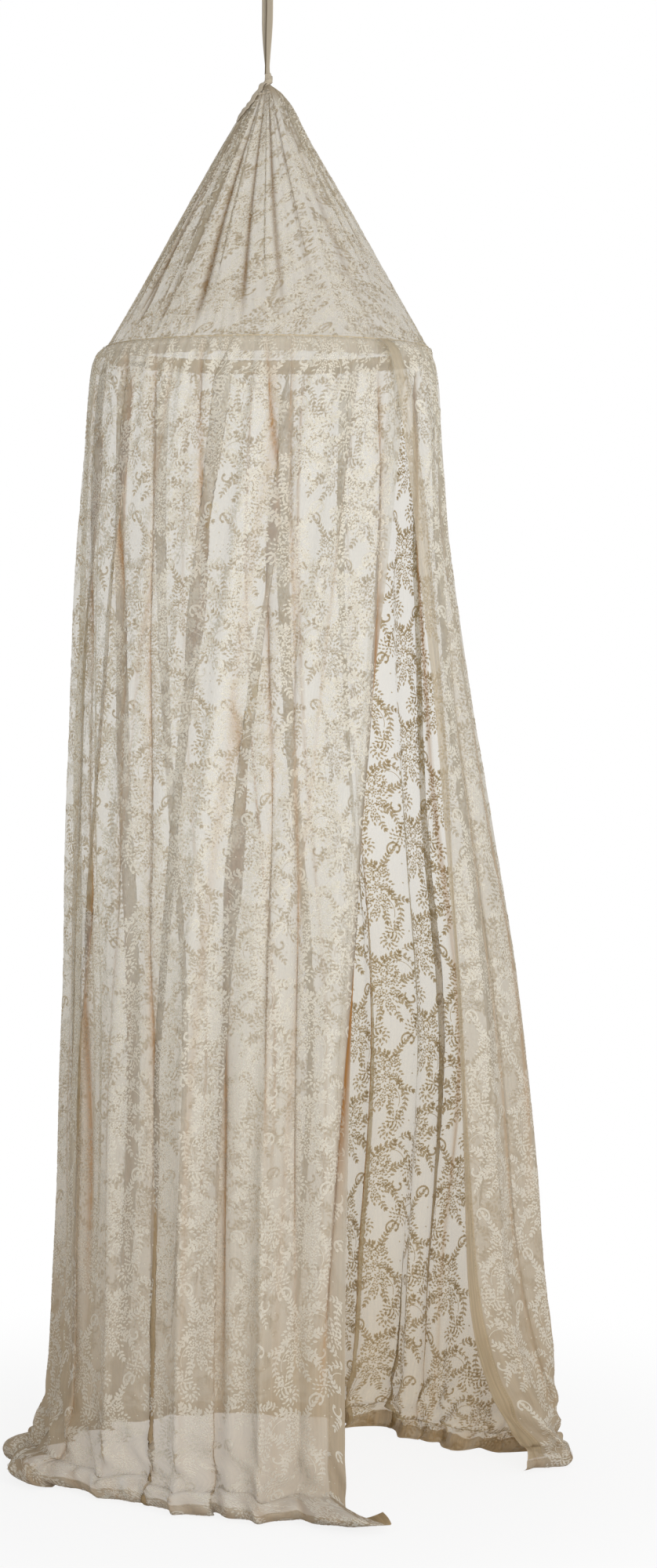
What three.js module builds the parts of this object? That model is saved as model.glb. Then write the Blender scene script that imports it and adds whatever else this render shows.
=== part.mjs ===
// Bed crown canopy: a lace canopy on a sewn-in hoop, hung by one tape loop over a bed.
// Millimetres, +Z up. The origin is where the loop bears on its hook, so the whole canopy
// is below it. The front opening faces -Y.

import * as THREE from 'three';

const { lerp, clamp, smoothstep, degToRad } = THREE.MathUtils;

// Drops below the hook
const FLOOR_DROP = 2400;
const RIM_DROP = 658;
const KNOT_TOP_DROP = 228;
const CONE_TOP_DROP = 252.5;
const CONE_FOOT_DROP = RIM_DROP - 1.4;

// Cloth. The solids are thicker than the lace, which is under half a millimetre.
const CLOTH = 3;
const FACING_THICK = 1.6;
const CONTACT_GAP = 0.4;

// Hanging loop: one folded tape, both legs caught in the knot
const TAPE_WIDTH = 12;
const TAPE_WIDTH_AT_KNOT = 6.5;
const TAPE_THICK = 2;
const LOOP_HALF_GAP = 6;
const LEG_HALF_GAP_AT_KNOT = 1.7;
const LOOP_BEND_SHARE = 0.12;

// Knot and gathered neck
const WRAP_RADIUS = 5.5;
const WRAP_TURNS = 2.6;
const WRAP_PITCH = 6.3;
const WRAP_TALL = 5.4;
const WRAP_THICK = 1.8;
const WRAP_CROWN = 0.8;
const NECK_RADIUS = 3.1;
const NECK_FLUTES = 6;
const NECK_BOTTOM_DROP = 262;
const TAIL_LENGTH = 62;
const TAIL_WIDTH = 9;
const TAIL_NARROW = 0.55;
const TAIL_ANGLE = 120;
const TAIL_START = 0.02;
const TAIL_STAND_OFF = 2.6;
const TAIL_BOW = 2;

// Cone
const CONE_TOP_RADIUS = 5.6;
const CONE_FOOT_RADIUS = 248;
const CONE_BULGE = 7;
const CONE_FOLDS = 10;
const CONE_FOLD_DEPTH = 11;
const CONE_FOLD_RISE = 0.6;
const CONE_FOLD_SETTLE = 0.7;
const CONE_FOLD_DRIFT = 0.8;
const CONE_UNEVEN = 0.25;

// Hoop: four bent tubes joined by plugs, in a sewn casing with one gap at the back
const HOOP_RADIUS = 246;
const TUBE_RADIUS = 4.4;
const TUBE_BORE = 3.1;
const TUBE_COUNT = 4;
const TUBE_GAP = 0.4;
const PLUG_RADIUS = 2.8;
const CASING_HALF_TALL = 11;
const CASING_HALF_WIDE = 7;
const CASING_SEWN = 1.5;
const CASING_DROP = RIM_DROP + CASING_HALF_TALL + CONTACT_GAP;
const HOOP_DROP = CASING_DROP + 2.5;
const CASING_SLIT = 15;
const ARC_STEP = 7.5;

// Drape: plan sizes at the rim and on the floor. A turn is the angle in degrees round the
// canopy from its front, by way of its left side (-X), and passes 360 where the edges overlap.
const DRAPE_DROP = FLOOR_DROP - RIM_DROP;
const RIM_RADIUS = 252;
const SEAM_ROLL = 7;
const SEAM_ROLL_FADE = 8;
const SHOULDER = 11;
const SHOULDER_FADE = 30;
const FLARE_POWER = 0.55;
const FOOT_RADIUS = 308;
const FOOT_OVAL = 30;
const FOOT_SHIFT = 10;
const LEFT_EDGE_TOP = 9;
const LEFT_EDGE_FOOT = 38;
const LEFT_EDGE_EASE = 2.5;
const RIGHT_EDGE_TOP = 380;
const RIGHT_EDGE_FOOT = 331.6;
const RIGHT_EDGE_SWAY = 8;
const CORNER_TURN = 326;
const CORNER_REACH = 175;
const CORNER_RISE = { start: 0.05, full: 0.55 };
const CORNER_SIDE_WIDTH = { rim: 18, foot: 8 };
const CORNER_FRONT_WIDTH = { rim: 34, foot: 9 };
const OVERLAP_SEWN = 9;
const OVERLAP_LIFT = 16;
const OVERLAP_SETTLE = 14;
const OVERLAP_START = 350;
const OVERLAP_FULL = 366;

// Folds of the drape
const FOLDS = 17;
const FOLD_TOP = 0.6;
const FOLD_FOOT = 17;
const FOLD_GROWTH = 0.7;
const FOLD_UNEVEN = 0.25;
const FOLD_UNEVEN_WAVES = 3;
const FOLD_DRIFT = 0.3;
const EDGE_FOLD_SHARE = 0.25;
const EDGE_CALM_WIDTH = 0.035;
const COLUMNS_PER_FOLD = 6;

// Roll of spare cloth on the floor, which starts and ends at these angles of its round section.
// The facings run down to the top of the hem.
const ROLL_REACH = 20;
const ROLL_TALL = 34;
const ROLL_START = degToRad(140);
const ROLL_END = degToRad(-90);
const ROLL_SWELL = 0.3;
const HEM_START = 1.38;
const PUFF_TURN = 152;
const PUFF_REACH = 58;
const PUFF_WIDTH = 13;
const TAIL_TURN = 41;
const TAIL_REACH = 72;
const TAIL_SPREAD = 11;

// Front flaps: the parts of the front edges that fold back like a tent's
const FLAP_START = 0.2;
const FLAP_TOP = 0.27;
const LEFT_FLAP_SHARE = 0.08;
const RIGHT_FLAP_SHARE = 0.086;
const FLAP_GAP = 0.004;
const FACING_SHARE = 0.011;
const FACING_LIMIT = 0.8;
const BEND_WIDTH = 0.06;
const BEND_COLUMNS = 6;

const LACE = { color: 0xe2d9c6, roughness: 0.9, metalness: 0 };
const PLAIN_VOILE = { color: 0xe6d8bd, roughness: 0.92, metalness: 0 };
const TAPE = { color: 0xb8ab95, roughness: 0.9, metalness: 0 };
const HOOP_PLASTIC = { color: 0xe9e7e2, roughness: 0.45, metalness: 0 };

const canopy = new THREE.Group();

/** Adds a named mesh with its own material to the canopy. */
function addPiece(name, geometry, finish) {
  const mesh = new THREE.Mesh(geometry, new THREE.MeshStandardMaterial(finish));
  mesh.name = name;
  canopy.add(mesh);
  return mesh;
}

/** A bell of height 1 at its centre. */
function bell(x, centre, width) {
  return Math.exp(-(((x - centre) / width) ** 2));
}

/** Cosine of an angle in degrees. */
function cosDeg(angle) {
  return Math.cos(degToRad(angle));
}

/** Evenly spaced numbers from start to end, both included. */
function spread(start, end, count) {
  return Array.from({ length: count }, (_, i) => lerp(start, end, i / (count - 1)));
}

/**
 * A closed wall of even thickness about a surface.
 * surface(u, v) gives a point, and grid is an array of rows of [u, v] pairs, top row first,
 * with u running to the left hand of someone who stands outside. lift moves the wall outwards.
 */
function wallSolid(surface, grid, thickness, { lift = 0, closed = false, eps = 1e-4 } = {}) {
  const rows = grid.length;
  const cols = grid[0].length;
  const positions = [];
  const index = [];
  const sides = [lift + thickness / 2, lift - thickness / 2];
  for (const offset of sides) {
    for (const row of grid) {
      for (const [u, v] of row) {
        const alongU = surface(u + eps, v).sub(surface(u - eps, v));
        const alongV = surface(u, v + eps).sub(surface(u, v - eps));
        const normal = alongU.cross(alongV).normalize();
        const point = surface(u, v).addScaledVector(normal, offset);
        positions.push(point.x, point.y, point.z);
      }
    }
  }
  const outer = (r, c) => r * cols + (c % cols);
  const inner = (r, c) => rows * cols + outer(r, c);
  const quad = (a, b, c, d) => index.push(a, b, c, a, c, d);
  const lastCol = closed ? cols : cols - 1;
  for (let r = 0; r < rows - 1; r++) {
    for (let c = 0; c < lastCol; c++) {
      quad(outer(r, c), outer(r, c + 1), outer(r + 1, c + 1), outer(r + 1, c));
      quad(inner(r, c), inner(r + 1, c), inner(r + 1, c + 1), inner(r, c + 1));
    }
  }
  for (let c = 0; c < lastCol; c++) {
    quad(outer(0, c), inner(0, c), inner(0, c + 1), outer(0, c + 1));
    quad(outer(rows - 1, c), outer(rows - 1, c + 1), inner(rows - 1, c + 1), inner(rows - 1, c));
  }
  if (!closed) {
    for (let r = 0; r < rows - 1; r++) {
      quad(outer(r, 0), outer(r + 1, 0), inner(r + 1, 0), inner(r, 0));
      quad(outer(r, cols - 1), inner(r, cols - 1), inner(r + 1, cols - 1), outer(r + 1, cols - 1));
    }
  }
  const geometry = new THREE.BufferGeometry();
  geometry.setAttribute('position', new THREE.Float32BufferAttribute(positions, 3));
  geometry.setIndex(index);
  geometry.computeVertexNormals();
  return geometry;
}

// Hanging loop

/** Half the distance between the loop's legs at a share of the way from its bend to the knot. */
function legHalfGap(share) {
  return lerp(LOOP_HALF_GAP, LEG_HALF_GAP_AT_KNOT, smoothstep(share, 0, 1));
}

/** A point of the tape: u runs across its width, s from one leg's foot over the hook to the other's. */
function tapePoint(u, s) {
  const bend = LOOP_BEND_SHARE;
  const side = Math.sign(s - 0.5) || 1;
  const fromTop = Math.abs(s - 0.5) * 2;
  const legShare = clamp((fromTop - bend) / (1 - bend), 0, 1.01);
  const width = lerp(TAPE_WIDTH, TAPE_WIDTH_AT_KNOT, smoothstep(legShare, 0.35, 1));
  const y = u * width;
  if (fromTop < bend) {
    const angle = (fromTop / bend) * (Math.PI / 2);
    return new THREE.Vector3(
      side * LOOP_HALF_GAP * Math.sin(angle), y,
      TAPE_THICK / 2 + LOOP_HALF_GAP * (Math.cos(angle) - 1),
    );
  }
  const legTop = TAPE_THICK / 2 - LOOP_HALF_GAP;
  const legFoot = CONTACT_GAP - KNOT_TOP_DROP;
  return new THREE.Vector3(side * legHalfGap(legShare), y, lerp(legTop, legFoot, legShare));
}

function hangingLoop() {
  const across = [-0.5, 0, 0.5];
  const bendStops = spread(0.44, 0.56, 11);
  const legStops = spread(0, 0.425, 13);
  const along = [...legStops, ...bendStops, ...legStops.map((s) => 1 - s).reverse()];
  const grid = along.map((s) => across.map((u) => [u, s]));
  return wallSolid(tapePoint, grid, TAPE_THICK, { eps: 1e-5 });
}

// Knot, neck and tail

/** A point of the wraps round the neck: u runs down the tape's width, s along the tape. */
function wrapPoint(u, s) {
  const angle = s * WRAP_TURNS * 2 * Math.PI;
  const radius = WRAP_RADIUS + WRAP_CROWN * Math.cos(Math.PI * u);
  const fall = WRAP_TALL * (u + 0.5) + s * WRAP_TURNS * WRAP_PITCH;
  return new THREE.Vector3(
    radius * Math.cos(angle), radius * Math.sin(angle), -KNOT_TOP_DROP - fall,
  );
}

function loopKnot() {
  const stops = spread(0, 1, Math.round(WRAP_TURNS * 16) + 1);
  const grid = stops.map((s) => spread(-0.5, 0.5, 5).map((u) => [u, s]));
  return wallSolid(wrapPoint, grid, WRAP_THICK);
}

/** Fluted stub of gathered cloth that the knot grips. */
function crownNeck() {
  const shape = new THREE.Shape();
  const points = 8 * NECK_FLUTES;
  for (let i = 0; i < points; i++) {
    const angle = (i / points) * 2 * Math.PI;
    const radius = NECK_RADIUS * (0.9 + 0.1 * Math.cos(NECK_FLUTES * angle));
    shape[i ? 'lineTo' : 'moveTo'](radius * Math.cos(angle), radius * Math.sin(angle));
  }
  shape.closePath();
  const height = NECK_BOTTOM_DROP - KNOT_TOP_DROP - 1;
  const geometry = new THREE.ExtrudeGeometry(shape, { depth: height, bevelEnabled: false });
  geometry.translate(0, 0, -NECK_BOTTOM_DROP);
  return geometry;
}

/** A point of the cone's cloth: u is the share round it, v the share down it. */
function conePoint(u, v) {
  const angle = -2 * Math.PI * u;
  const down = Math.max(v, 0);
  const smooth = lerp(CONE_TOP_RADIUS, CONE_FOOT_RADIUS, v)
    + CONE_BULGE * Math.sin(Math.PI * Math.sqrt(clamp(down, 0, 1)));
  const depth = CONE_FOLD_DEPTH * down ** CONE_FOLD_RISE * clamp(1 - v, 0, 1) ** CONE_FOLD_SETTLE;
  const phase = CONE_FOLDS * angle + CONE_FOLD_DRIFT * Math.sin(2 * angle + 1);
  const uneven = 1 - CONE_UNEVEN + CONE_UNEVEN * Math.cos(3 * angle);
  const radius = smooth + depth * uneven * Math.cos(phase);
  return new THREE.Vector3(
    radius * Math.cos(angle), radius * Math.sin(angle),
    -lerp(CONE_TOP_DROP, CONE_FOOT_DROP, v),
  );
}

function crownCone() {
  const columns = 6 * CONE_FOLDS;
  const stops = [0, 0.05, 0.16, 0.38, 0.68, 1];
  const grid = stops.map((v) => Array.from({ length: columns }, (_, i) => [i / columns, v]));
  return wallSolid(conePoint, grid, CLOTH, { closed: true });
}

/** The free end of the tape, which runs from the knot down the cone's rear left side. */
function loopTail() {
  const angle = degToRad(TAIL_ANGLE);
  const slant = Math.hypot(CONE_FOOT_RADIUS, CONE_FOOT_DROP - CONE_TOP_DROP);
  const share = TAIL_LENGTH / slant;
  const tailPoint = (u, s) => {
    const onCone = conePoint(-angle / (2 * Math.PI), TAIL_START + s * share);
    const across = u * TAIL_WIDTH * lerp(TAIL_NARROW, 1, s);
    const out = Math.hypot(onCone.x, onCone.y) + TAIL_STAND_OFF + TAIL_BOW * Math.sin(Math.PI * s);
    return new THREE.Vector3(
      out * Math.cos(angle) + across * Math.sin(angle),
      out * Math.sin(angle) - across * Math.cos(angle),
      onCone.z,
    );
  };
  const grid = spread(0, 1, 7).map((s) => [-0.5, 0, 0.5].map((u) => [u, s]));
  return wallSolid(tailPoint, grid, FACING_THICK, { lift: CLOTH / 2 });
}

// Hoop and its casing

/** A level arc about the canopy's axis, from one angle in degrees to another. */
class LevelArc extends THREE.Curve {
  constructor(radius, drop, from, to) {
    super();
    Object.assign(this, { radius, drop, from, to });
  }

  getPoint(t) {
    const angle = degToRad(lerp(this.from, this.to, t));
    return new THREE.Vector3(
      this.radius * Math.cos(angle), this.radius * Math.sin(angle), -this.drop,
    );
  }
}

/** An oval shape with an optional oval bore. */
function ovalShape(halfTall, halfWide, wall) {
  const shape = new THREE.Shape();
  shape.absellipse(0, 0, halfTall, halfWide, 0, 2 * Math.PI);
  if (wall) {
    const bore = new THREE.Path();
    bore.absellipse(0, 0, halfTall - wall, halfWide - wall, 0, 2 * Math.PI);
    shape.holes.push(bore);
  }
  return shape;
}

/** One quarter of the hoop's tube, open at both ends. */
function hoopTube(quarter) {
  const span = 360 / TUBE_COUNT;
  const trim = (TUBE_GAP / HOOP_RADIUS) * (90 / Math.PI);
  const arc = new LevelArc(HOOP_RADIUS, HOOP_DROP, quarter * span + trim, (quarter + 1) * span - trim);
  const shape = ovalShape(TUBE_RADIUS, TUBE_RADIUS, TUBE_RADIUS - TUBE_BORE);
  return new THREE.ExtrudeGeometry(shape, { steps: span / ARC_STEP, curveSegments: 5, extrudePath: arc });
}

/** The plug inside the joint between two tubes, one arc step long on each side. */
function hoopPlug(quarter) {
  const middle = (quarter * 360) / TUBE_COUNT;
  const arc = new LevelArc(HOOP_RADIUS, HOOP_DROP, middle - ARC_STEP, middle + ARC_STEP);
  const shape = ovalShape(PLUG_RADIUS, PLUG_RADIUS, 0);
  return new THREE.ExtrudeGeometry(shape, { steps: 2, curveSegments: 4, extrudePath: arc });
}

/** The sewn channel round the hoop. Its gap at the back is where the tubes go in. */
function hoopCasing() {
  const arc = new LevelArc(HOOP_RADIUS, CASING_DROP, 90 + CASING_SLIT / 2, 450 - CASING_SLIT / 2);
  const shape = ovalShape(CASING_HALF_TALL, CASING_HALF_WIDE, CASING_SEWN);
  const steps = (360 - CASING_SLIT) / ARC_STEP;
  return new THREE.ExtrudeGeometry(shape, { steps, curveSegments: 6, extrudePath: arc });
}

// Drape

/** Turn of the left front edge at a share of the way to the floor. */
function leftEdgeTurn(fall) {
  return lerp(LEFT_EDGE_TOP, LEFT_EDGE_FOOT, 1 - clamp(1 - fall, 0, 1) ** LEFT_EDGE_EASE);
}

/** Turn of the right front edge, which hangs forward a little above the floor. */
function rightEdgeTurn(fall) {
  const sway = RIGHT_EDGE_SWAY * Math.sin(Math.PI * clamp(fall, 0, 1) ** 2);
  return lerp(RIGHT_EDGE_TOP, RIGHT_EDGE_FOOT, fall) + sway;
}

/** Plan radius of the drape without its folds. */
function planRadius(turn, fall) {
  const down = fall * DRAPE_DROP;
  const foot = FOOT_RADIUS + FOOT_OVAL * cosDeg(2 * (turn - 190)) + FOOT_SHIFT * cosDeg(turn - 170);
  const seamRoll = SEAM_ROLL * (1 - Math.exp(-down / SEAM_ROLL_FADE));
  const shoulder = SHOULDER * (1 - Math.exp(-down / SHOULDER_FADE));
  const flare = (foot - RIM_RADIUS - SEAM_ROLL - SHOULDER) * fall ** FLARE_POWER;
  const width = turn > CORNER_TURN ? CORNER_FRONT_WIDTH : CORNER_SIDE_WIDTH;
  const reach = CORNER_REACH * fall * smoothstep(fall, CORNER_RISE.start, CORNER_RISE.full);
  const corner = reach * bell(turn, CORNER_TURN, lerp(width.rim, width.foot, fall));
  const lift = lerp(OVERLAP_SEWN, OVERLAP_LIFT, smoothstep(down, 0, OVERLAP_SETTLE));
  const overlap = lift * smoothstep(turn, OVERLAP_START, OVERLAP_FULL);
  return RIM_RADIUS + seamRoll + shoulder + flare + corner + overlap;
}

/** The drape's level outline at one height, measured along its cloth. */
class Outline {
  constructor(fall) {
    const count = 220;
    this.turns = spread(leftEdgeTurn(fall), rightEdgeTurn(fall), count);
    this.points = this.turns.map((turn) => {
      const radius = planRadius(turn, fall);
      const angle = degToRad(turn);
      return new THREE.Vector2(-radius * Math.sin(angle), -radius * Math.cos(angle));
    });
    this.normals = this.points.map((_, i) => {
      const before = this.points[Math.max(i - 2, 0)];
      const after = this.points[Math.min(i + 2, count - 1)];
      const along = after.clone().sub(before).normalize();
      return new THREE.Vector2(-along.y, along.x);
    });
    this.lengths = [0];
    for (let i = 1; i < count; i++) {
      this.lengths.push(this.lengths[i - 1] + this.points[i].distanceTo(this.points[i - 1]));
    }
    this.total = this.lengths[count - 1];
  }

  /** The point, outward normal and turn at a share of the cloth's width. */
  at(share) {
    const wanted = share * this.total;
    let high = 1;
    while (high < this.lengths.length - 1 && this.lengths[high] < wanted) high += 1;
    const low = high - 1;
    const part = (wanted - this.lengths[low]) / (this.lengths[high] - this.lengths[low]);
    return {
      point: this.points[low].clone().lerp(this.points[high], part),
      normal: this.normals[low].clone().lerp(this.normals[high], part).normalize(),
      turn: lerp(this.turns[low], this.turns[high], part),
    };
  }
}

const outlines = new Map();

/** The outline at a share of the way to the floor, kept for the next call. */
function outlineAt(fall) {
  const key = fall.toFixed(7);
  if (!outlines.has(key)) outlines.set(key, new Outline(fall));
  return outlines.get(key);
}

/** How far the folds stand out at a share of the cloth's width. */
function foldDepth(share, fall) {
  const uneven = 1 - FOLD_UNEVEN + FOLD_UNEVEN * Math.sin(FOLD_UNEVEN_WAVES * 2 * Math.PI * share);
  const depth = lerp(FOLD_TOP, FOLD_FOOT, fall ** FOLD_GROWTH) * uneven;
  const fromEdge = smoothstep(Math.min(share, 1 - share), 0, EDGE_CALM_WIDTH);
  const edge = lerp(EDGE_FOLD_SHARE, 1, fromEdge);
  const phase = 2 * Math.PI * (FOLDS * share + FOLD_DRIFT * Math.sin(4 * Math.PI * share + 1));
  return -depth * edge * Math.cos(phase);
}

/** Reach and height of the roll on the floor. */
function rollSize(turn) {
  const puff = PUFF_REACH * bell(turn, PUFF_TURN, PUFF_WIDTH);
  const extra = puff + TAIL_REACH * bell(turn, TAIL_TURN, TAIL_SPREAD);
  return { reach: ROLL_REACH + extra, tall: ROLL_TALL + ROLL_SWELL * extra };
}

/**
 * A point of the drape's cloth. share runs from the left front edge to the right one.
 * v runs from 0 at the rim to 1 where the cloth meets its roll, and to 2 at the hem.
 */
function drapePoint(share, v) {
  const { reach, tall } = rollSize(outlineAt(1).at(share).turn);
  const wallShare = Math.max(v, 0);
  const rollTop = tall / 2 + (tall / 2) * Math.sin(ROLL_START) + CLOTH / 2;
  const fall = (Math.min(wallShare, 1) * (DRAPE_DROP - rollTop)) / DRAPE_DROP;
  const { point, normal } = outlineAt(fall).at(share);
  const spot = point.addScaledVector(normal, foldDepth(share, fall));
  if (v <= 1) return new THREE.Vector3(spot.x, spot.y, -RIM_DROP - 1 - v * (DRAPE_DROP - rollTop - 1));
  const angle = lerp(ROLL_START, ROLL_END, v - 1);
  spot.addScaledVector(normal, (reach / 2) * (Math.cos(angle) - Math.cos(ROLL_START)));
  const up = tall / 2 + (tall / 2) * Math.sin(angle) + CLOTH / 2;
  return new THREE.Vector3(spot.x, spot.y, -FLOOR_DROP + up);
}

const WALL_STOPS = [0, 0.006, 0.022, 0.065, FLAP_START, 0.3, 0.42, 0.54, 0.67, 0.79, 0.91, 1];
const ROLL_STOPS = [1.18, 1.38, 1.58, 1.8, 2];
const ROWS = [...WALL_STOPS, ...ROLL_STOPS];
const FLAP_ROWS = [FLAP_TOP, ...ROWS.filter((v) => v > FLAP_TOP)];
const FACING_ROWS = FLAP_ROWS.filter((v) => v <= HEM_START);
const TOP_ROWS = ROWS.filter((v) => v <= FLAP_START);
const COLUMN = 1 / (FOLDS * COLUMNS_PER_FOLD);

/** Share of the cloth in front of a flap's fold line. */
function flapShare(v, atFloor) {
  return atFloor * clamp((v - FLAP_START) / (1 - FLAP_START), 0, 1);
}

/** Column places over a flap, from its front edge to its fold line. The first three hold the facing. */
function flapColumns(v, atFloor) {
  const width = flapShare(v, atFloor) - FLAP_GAP / 2;
  const facing = Math.min(FACING_SHARE, FACING_LIMIT * width);
  const rest = Math.round((atFloor - FACING_SHARE) / COLUMN);
  return [0, facing / 2, ...spread(facing, width, rest + 1)];
}

/** Column places of a side's fixed cloth, from its front edge or fold line back to a seam. */
function sideColumns(v, atFloor, seam) {
  const flap = flapShare(v, atFloor);
  const start = flap > 0 ? flap + FLAP_GAP / 2 : 0;
  const steady = atFloor + BEND_WIDTH;
  const steadyCount = Math.round((seam - steady) / COLUMN);
  return [
    start, start + FACING_SHARE / 2, ...spread(start + FACING_SHARE, steady, BEND_COLUMNS),
    ...spread(steady, seam, steadyCount + 1).slice(1),
  ];
}

/** Turns places measured from the right edge into shares from the left one, in rising order. */
function fromRight(places) {
  return places.map((place) => 1 - place).reverse();
}

/** A wall of the drape from rows of column places. */
function drapeSolid(rows, columnsAt, thickness = CLOTH, lift = 0) {
  const grid = rows.map((v) => columnsAt(v).map((share) => [share, v]));
  return wallSolid(drapePoint, grid, thickness, { lift });
}

const LEFT_SEAM = 0.36;
const RIGHT_SEAM = 0.36;
const SEAM_GAP = 0.0007;
const FACING_LIFT = CLOTH / 2 + CONTACT_GAP + FACING_THICK / 2;

addPiece('hanging_loop', hangingLoop(), TAPE);
addPiece('loop_knot', loopKnot(), TAPE);
addPiece('loop_tail', loopTail(), TAPE);
addPiece('crown_neck', crownNeck(), LACE);
addPiece('crown_cone', crownCone(), LACE);
addPiece('hoop_casing', hoopCasing(), PLAIN_VOILE);
for (let quarter = 0; quarter < TUBE_COUNT; quarter++) {
  addPiece(`hoop_tube_${quarter + 1}`, hoopTube(quarter), HOOP_PLASTIC);
  addPiece(`hoop_plug_${quarter + 1}`, hoopPlug(quarter), HOOP_PLASTIC);
}

const leftSide = (v) => sideColumns(v, LEFT_FLAP_SHARE, LEFT_SEAM);
const rightSide = (v) => fromRight(sideColumns(v, RIGHT_FLAP_SHARE, RIGHT_SEAM));
const backCount = Math.round((1 - LEFT_SEAM - RIGHT_SEAM) / COLUMN) + 1;
const backColumns = spread(LEFT_SEAM + SEAM_GAP, 1 - RIGHT_SEAM - SEAM_GAP, backCount);
addPiece('left_curtain', drapeSolid(ROWS, leftSide), LACE);
addPiece('back_curtain', drapeSolid(ROWS, () => backColumns), LACE);
addPiece('right_curtain', drapeSolid(ROWS, rightSide), LACE);

const leftFlap = (v) => flapColumns(v, LEFT_FLAP_SHARE);
const rightFlap = (v) => fromRight(flapColumns(v, RIGHT_FLAP_SHARE));
addPiece('left_front_flap', drapeSolid(FLAP_ROWS, leftFlap), LACE);
addPiece('right_front_flap', drapeSolid(FLAP_ROWS, rightFlap), LACE);

const facing = (rows, columnsAt, side) => drapeSolid(
  rows, (v) => (side === 'left' ? columnsAt(v).slice(0, 3) : columnsAt(v).slice(-3)),
  FACING_THICK, FACING_LIFT,
);
addPiece('left_facing_top', facing(TOP_ROWS, leftSide, 'left'), PLAIN_VOILE);
addPiece('right_facing_top', facing(TOP_ROWS, rightSide, 'right'), PLAIN_VOILE);
addPiece('left_facing', facing(FACING_ROWS, leftFlap, 'left'), PLAIN_VOILE);
addPiece('right_facing', facing(FACING_ROWS, rightFlap, 'right'), PLAIN_VOILE);

export default canopy;
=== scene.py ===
"""Bed crown canopy: a lace cone and drape on a sewn-in hoop, hung by a loop of tape.

Metres, +Z up. The origin is where the loop bears on its hook, so the whole canopy is below it.
In the drape, a turn is an angle in degrees from the front (-Y) by way of the left side (-X).
A share runs from 0 to 1 across a cloth or along a line, and a fall from 0 to 1 down the drape.
"""

import logging
import math
from dataclasses import dataclass, field
from enum import Enum

import bpy
import numpy as np
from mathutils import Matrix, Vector


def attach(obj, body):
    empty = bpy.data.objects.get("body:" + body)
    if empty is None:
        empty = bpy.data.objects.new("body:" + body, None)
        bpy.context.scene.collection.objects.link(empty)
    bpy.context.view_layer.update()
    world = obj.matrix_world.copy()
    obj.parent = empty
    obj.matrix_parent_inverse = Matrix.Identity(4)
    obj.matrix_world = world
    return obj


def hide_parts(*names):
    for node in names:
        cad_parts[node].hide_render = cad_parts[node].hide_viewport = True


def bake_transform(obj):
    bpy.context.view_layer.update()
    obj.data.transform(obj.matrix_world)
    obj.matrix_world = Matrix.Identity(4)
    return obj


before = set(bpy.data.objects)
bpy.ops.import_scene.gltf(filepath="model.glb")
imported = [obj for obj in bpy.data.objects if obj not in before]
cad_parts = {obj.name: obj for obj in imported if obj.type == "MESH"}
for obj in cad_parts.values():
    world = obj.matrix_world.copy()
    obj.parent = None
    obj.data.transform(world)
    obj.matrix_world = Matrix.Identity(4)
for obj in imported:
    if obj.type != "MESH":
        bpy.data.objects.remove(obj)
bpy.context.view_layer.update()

CLOTH_UV = "cloth"
PLEAT_SHADE_ATTRIBUTE = "pleat_shade"
GATHER_ATTRIBUTE = "gather"
LOG = logging.getLogger("canopy")
FULL_TURN = 2 * math.pi

FLOOR_DROP = 2.400
RIM_DROP = 0.658
DRAPE_DROP = FLOOR_DROP - RIM_DROP
SEAM_STEP = 0.001

Values = float | np.ndarray
Socket = bpy.types.NodeSocket
Material = bpy.types.Material
Piece = bpy.types.Object


def lerp(start: Values, end: Values, share: Values) -> Values:
    """Value at a share of the way from start to end."""
    return start + (end - start) * share


def smoothstep(value: Values, low: float, high: float) -> Values:
    """Smooth rise from 0 at low to 1 at high."""
    share = np.clip((value - low) / (high - low), 0, 1)
    return share * share * (3 - 2 * share)


def bell(value: Values, centre: float, width: Values) -> Values:
    """Bell of height 1 at its centre."""
    return np.exp(-(((value - centre) / width) ** 2))


def ridge(phase: Values, sharpness: float) -> Values:
    """Ridges of height 1 at the crests of a phase, narrower with more sharpness."""
    return np.exp(sharpness * (np.cos(phase) - 1))


def near_top(down: float, start: float, fade: float) -> float:
    """Strength of something that starts within one distance of the top and fades over another."""
    return math.exp(-down / fade) * (1 - math.exp(-down / start))


def linear(colour: str) -> tuple[float, float, float, float]:
    """Scene-linear colour of a hexadecimal sRGB one.

    Args:
        colour: Six hexadecimal digits.

    Returns:
        Red, green, blue and an alpha of 1.
    """
    parts = [int(colour[i:i + 2], 16) / 255 for i in (0, 2, 4)]
    return (*(p / 12.92 if p <= 0.04045 else ((p + 0.055) / 1.055) ** 2.4 for p in parts), 1.0)


def unit(vectors: np.ndarray) -> np.ndarray:
    """Vectors of the same directions and length 1."""
    return vectors / np.maximum(np.linalg.norm(vectors, axis=-1, keepdims=True), 1e-12)


def distances(points: np.ndarray) -> np.ndarray:
    """Distance along a line to each of its points."""
    return np.concatenate(([0], np.cumsum(np.linalg.norm(np.diff(points, axis=0), axis=1))))


def interpolated(wanted: np.ndarray, known: np.ndarray, vectors: np.ndarray) -> np.ndarray:
    """Vectors at the wanted places, from those at known ones."""
    return np.stack([np.interp(wanted, known, column) for column in vectors.T], axis=1)


def round_axis(radius: Values, angles: np.ndarray, height: Values) -> np.ndarray:
    """Points at these radii, angles and heights round the canopy's axis."""
    return np.column_stack((radius * np.cos(angles), radius * np.sin(angles),
                            np.broadcast_to(height, angles.shape)))


def grid_corners(tall: int, wide: int) -> list[tuple[np.ndarray, np.ndarray]]:
    """Row and column of the four corners of every face in a grid of faces."""
    r, c = np.meshgrid(np.arange(tall), np.arange(wide), indexing="ij")
    return [(r, c), (r, c + 1), (r + 1, c + 1), (r + 1, c)]


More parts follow.
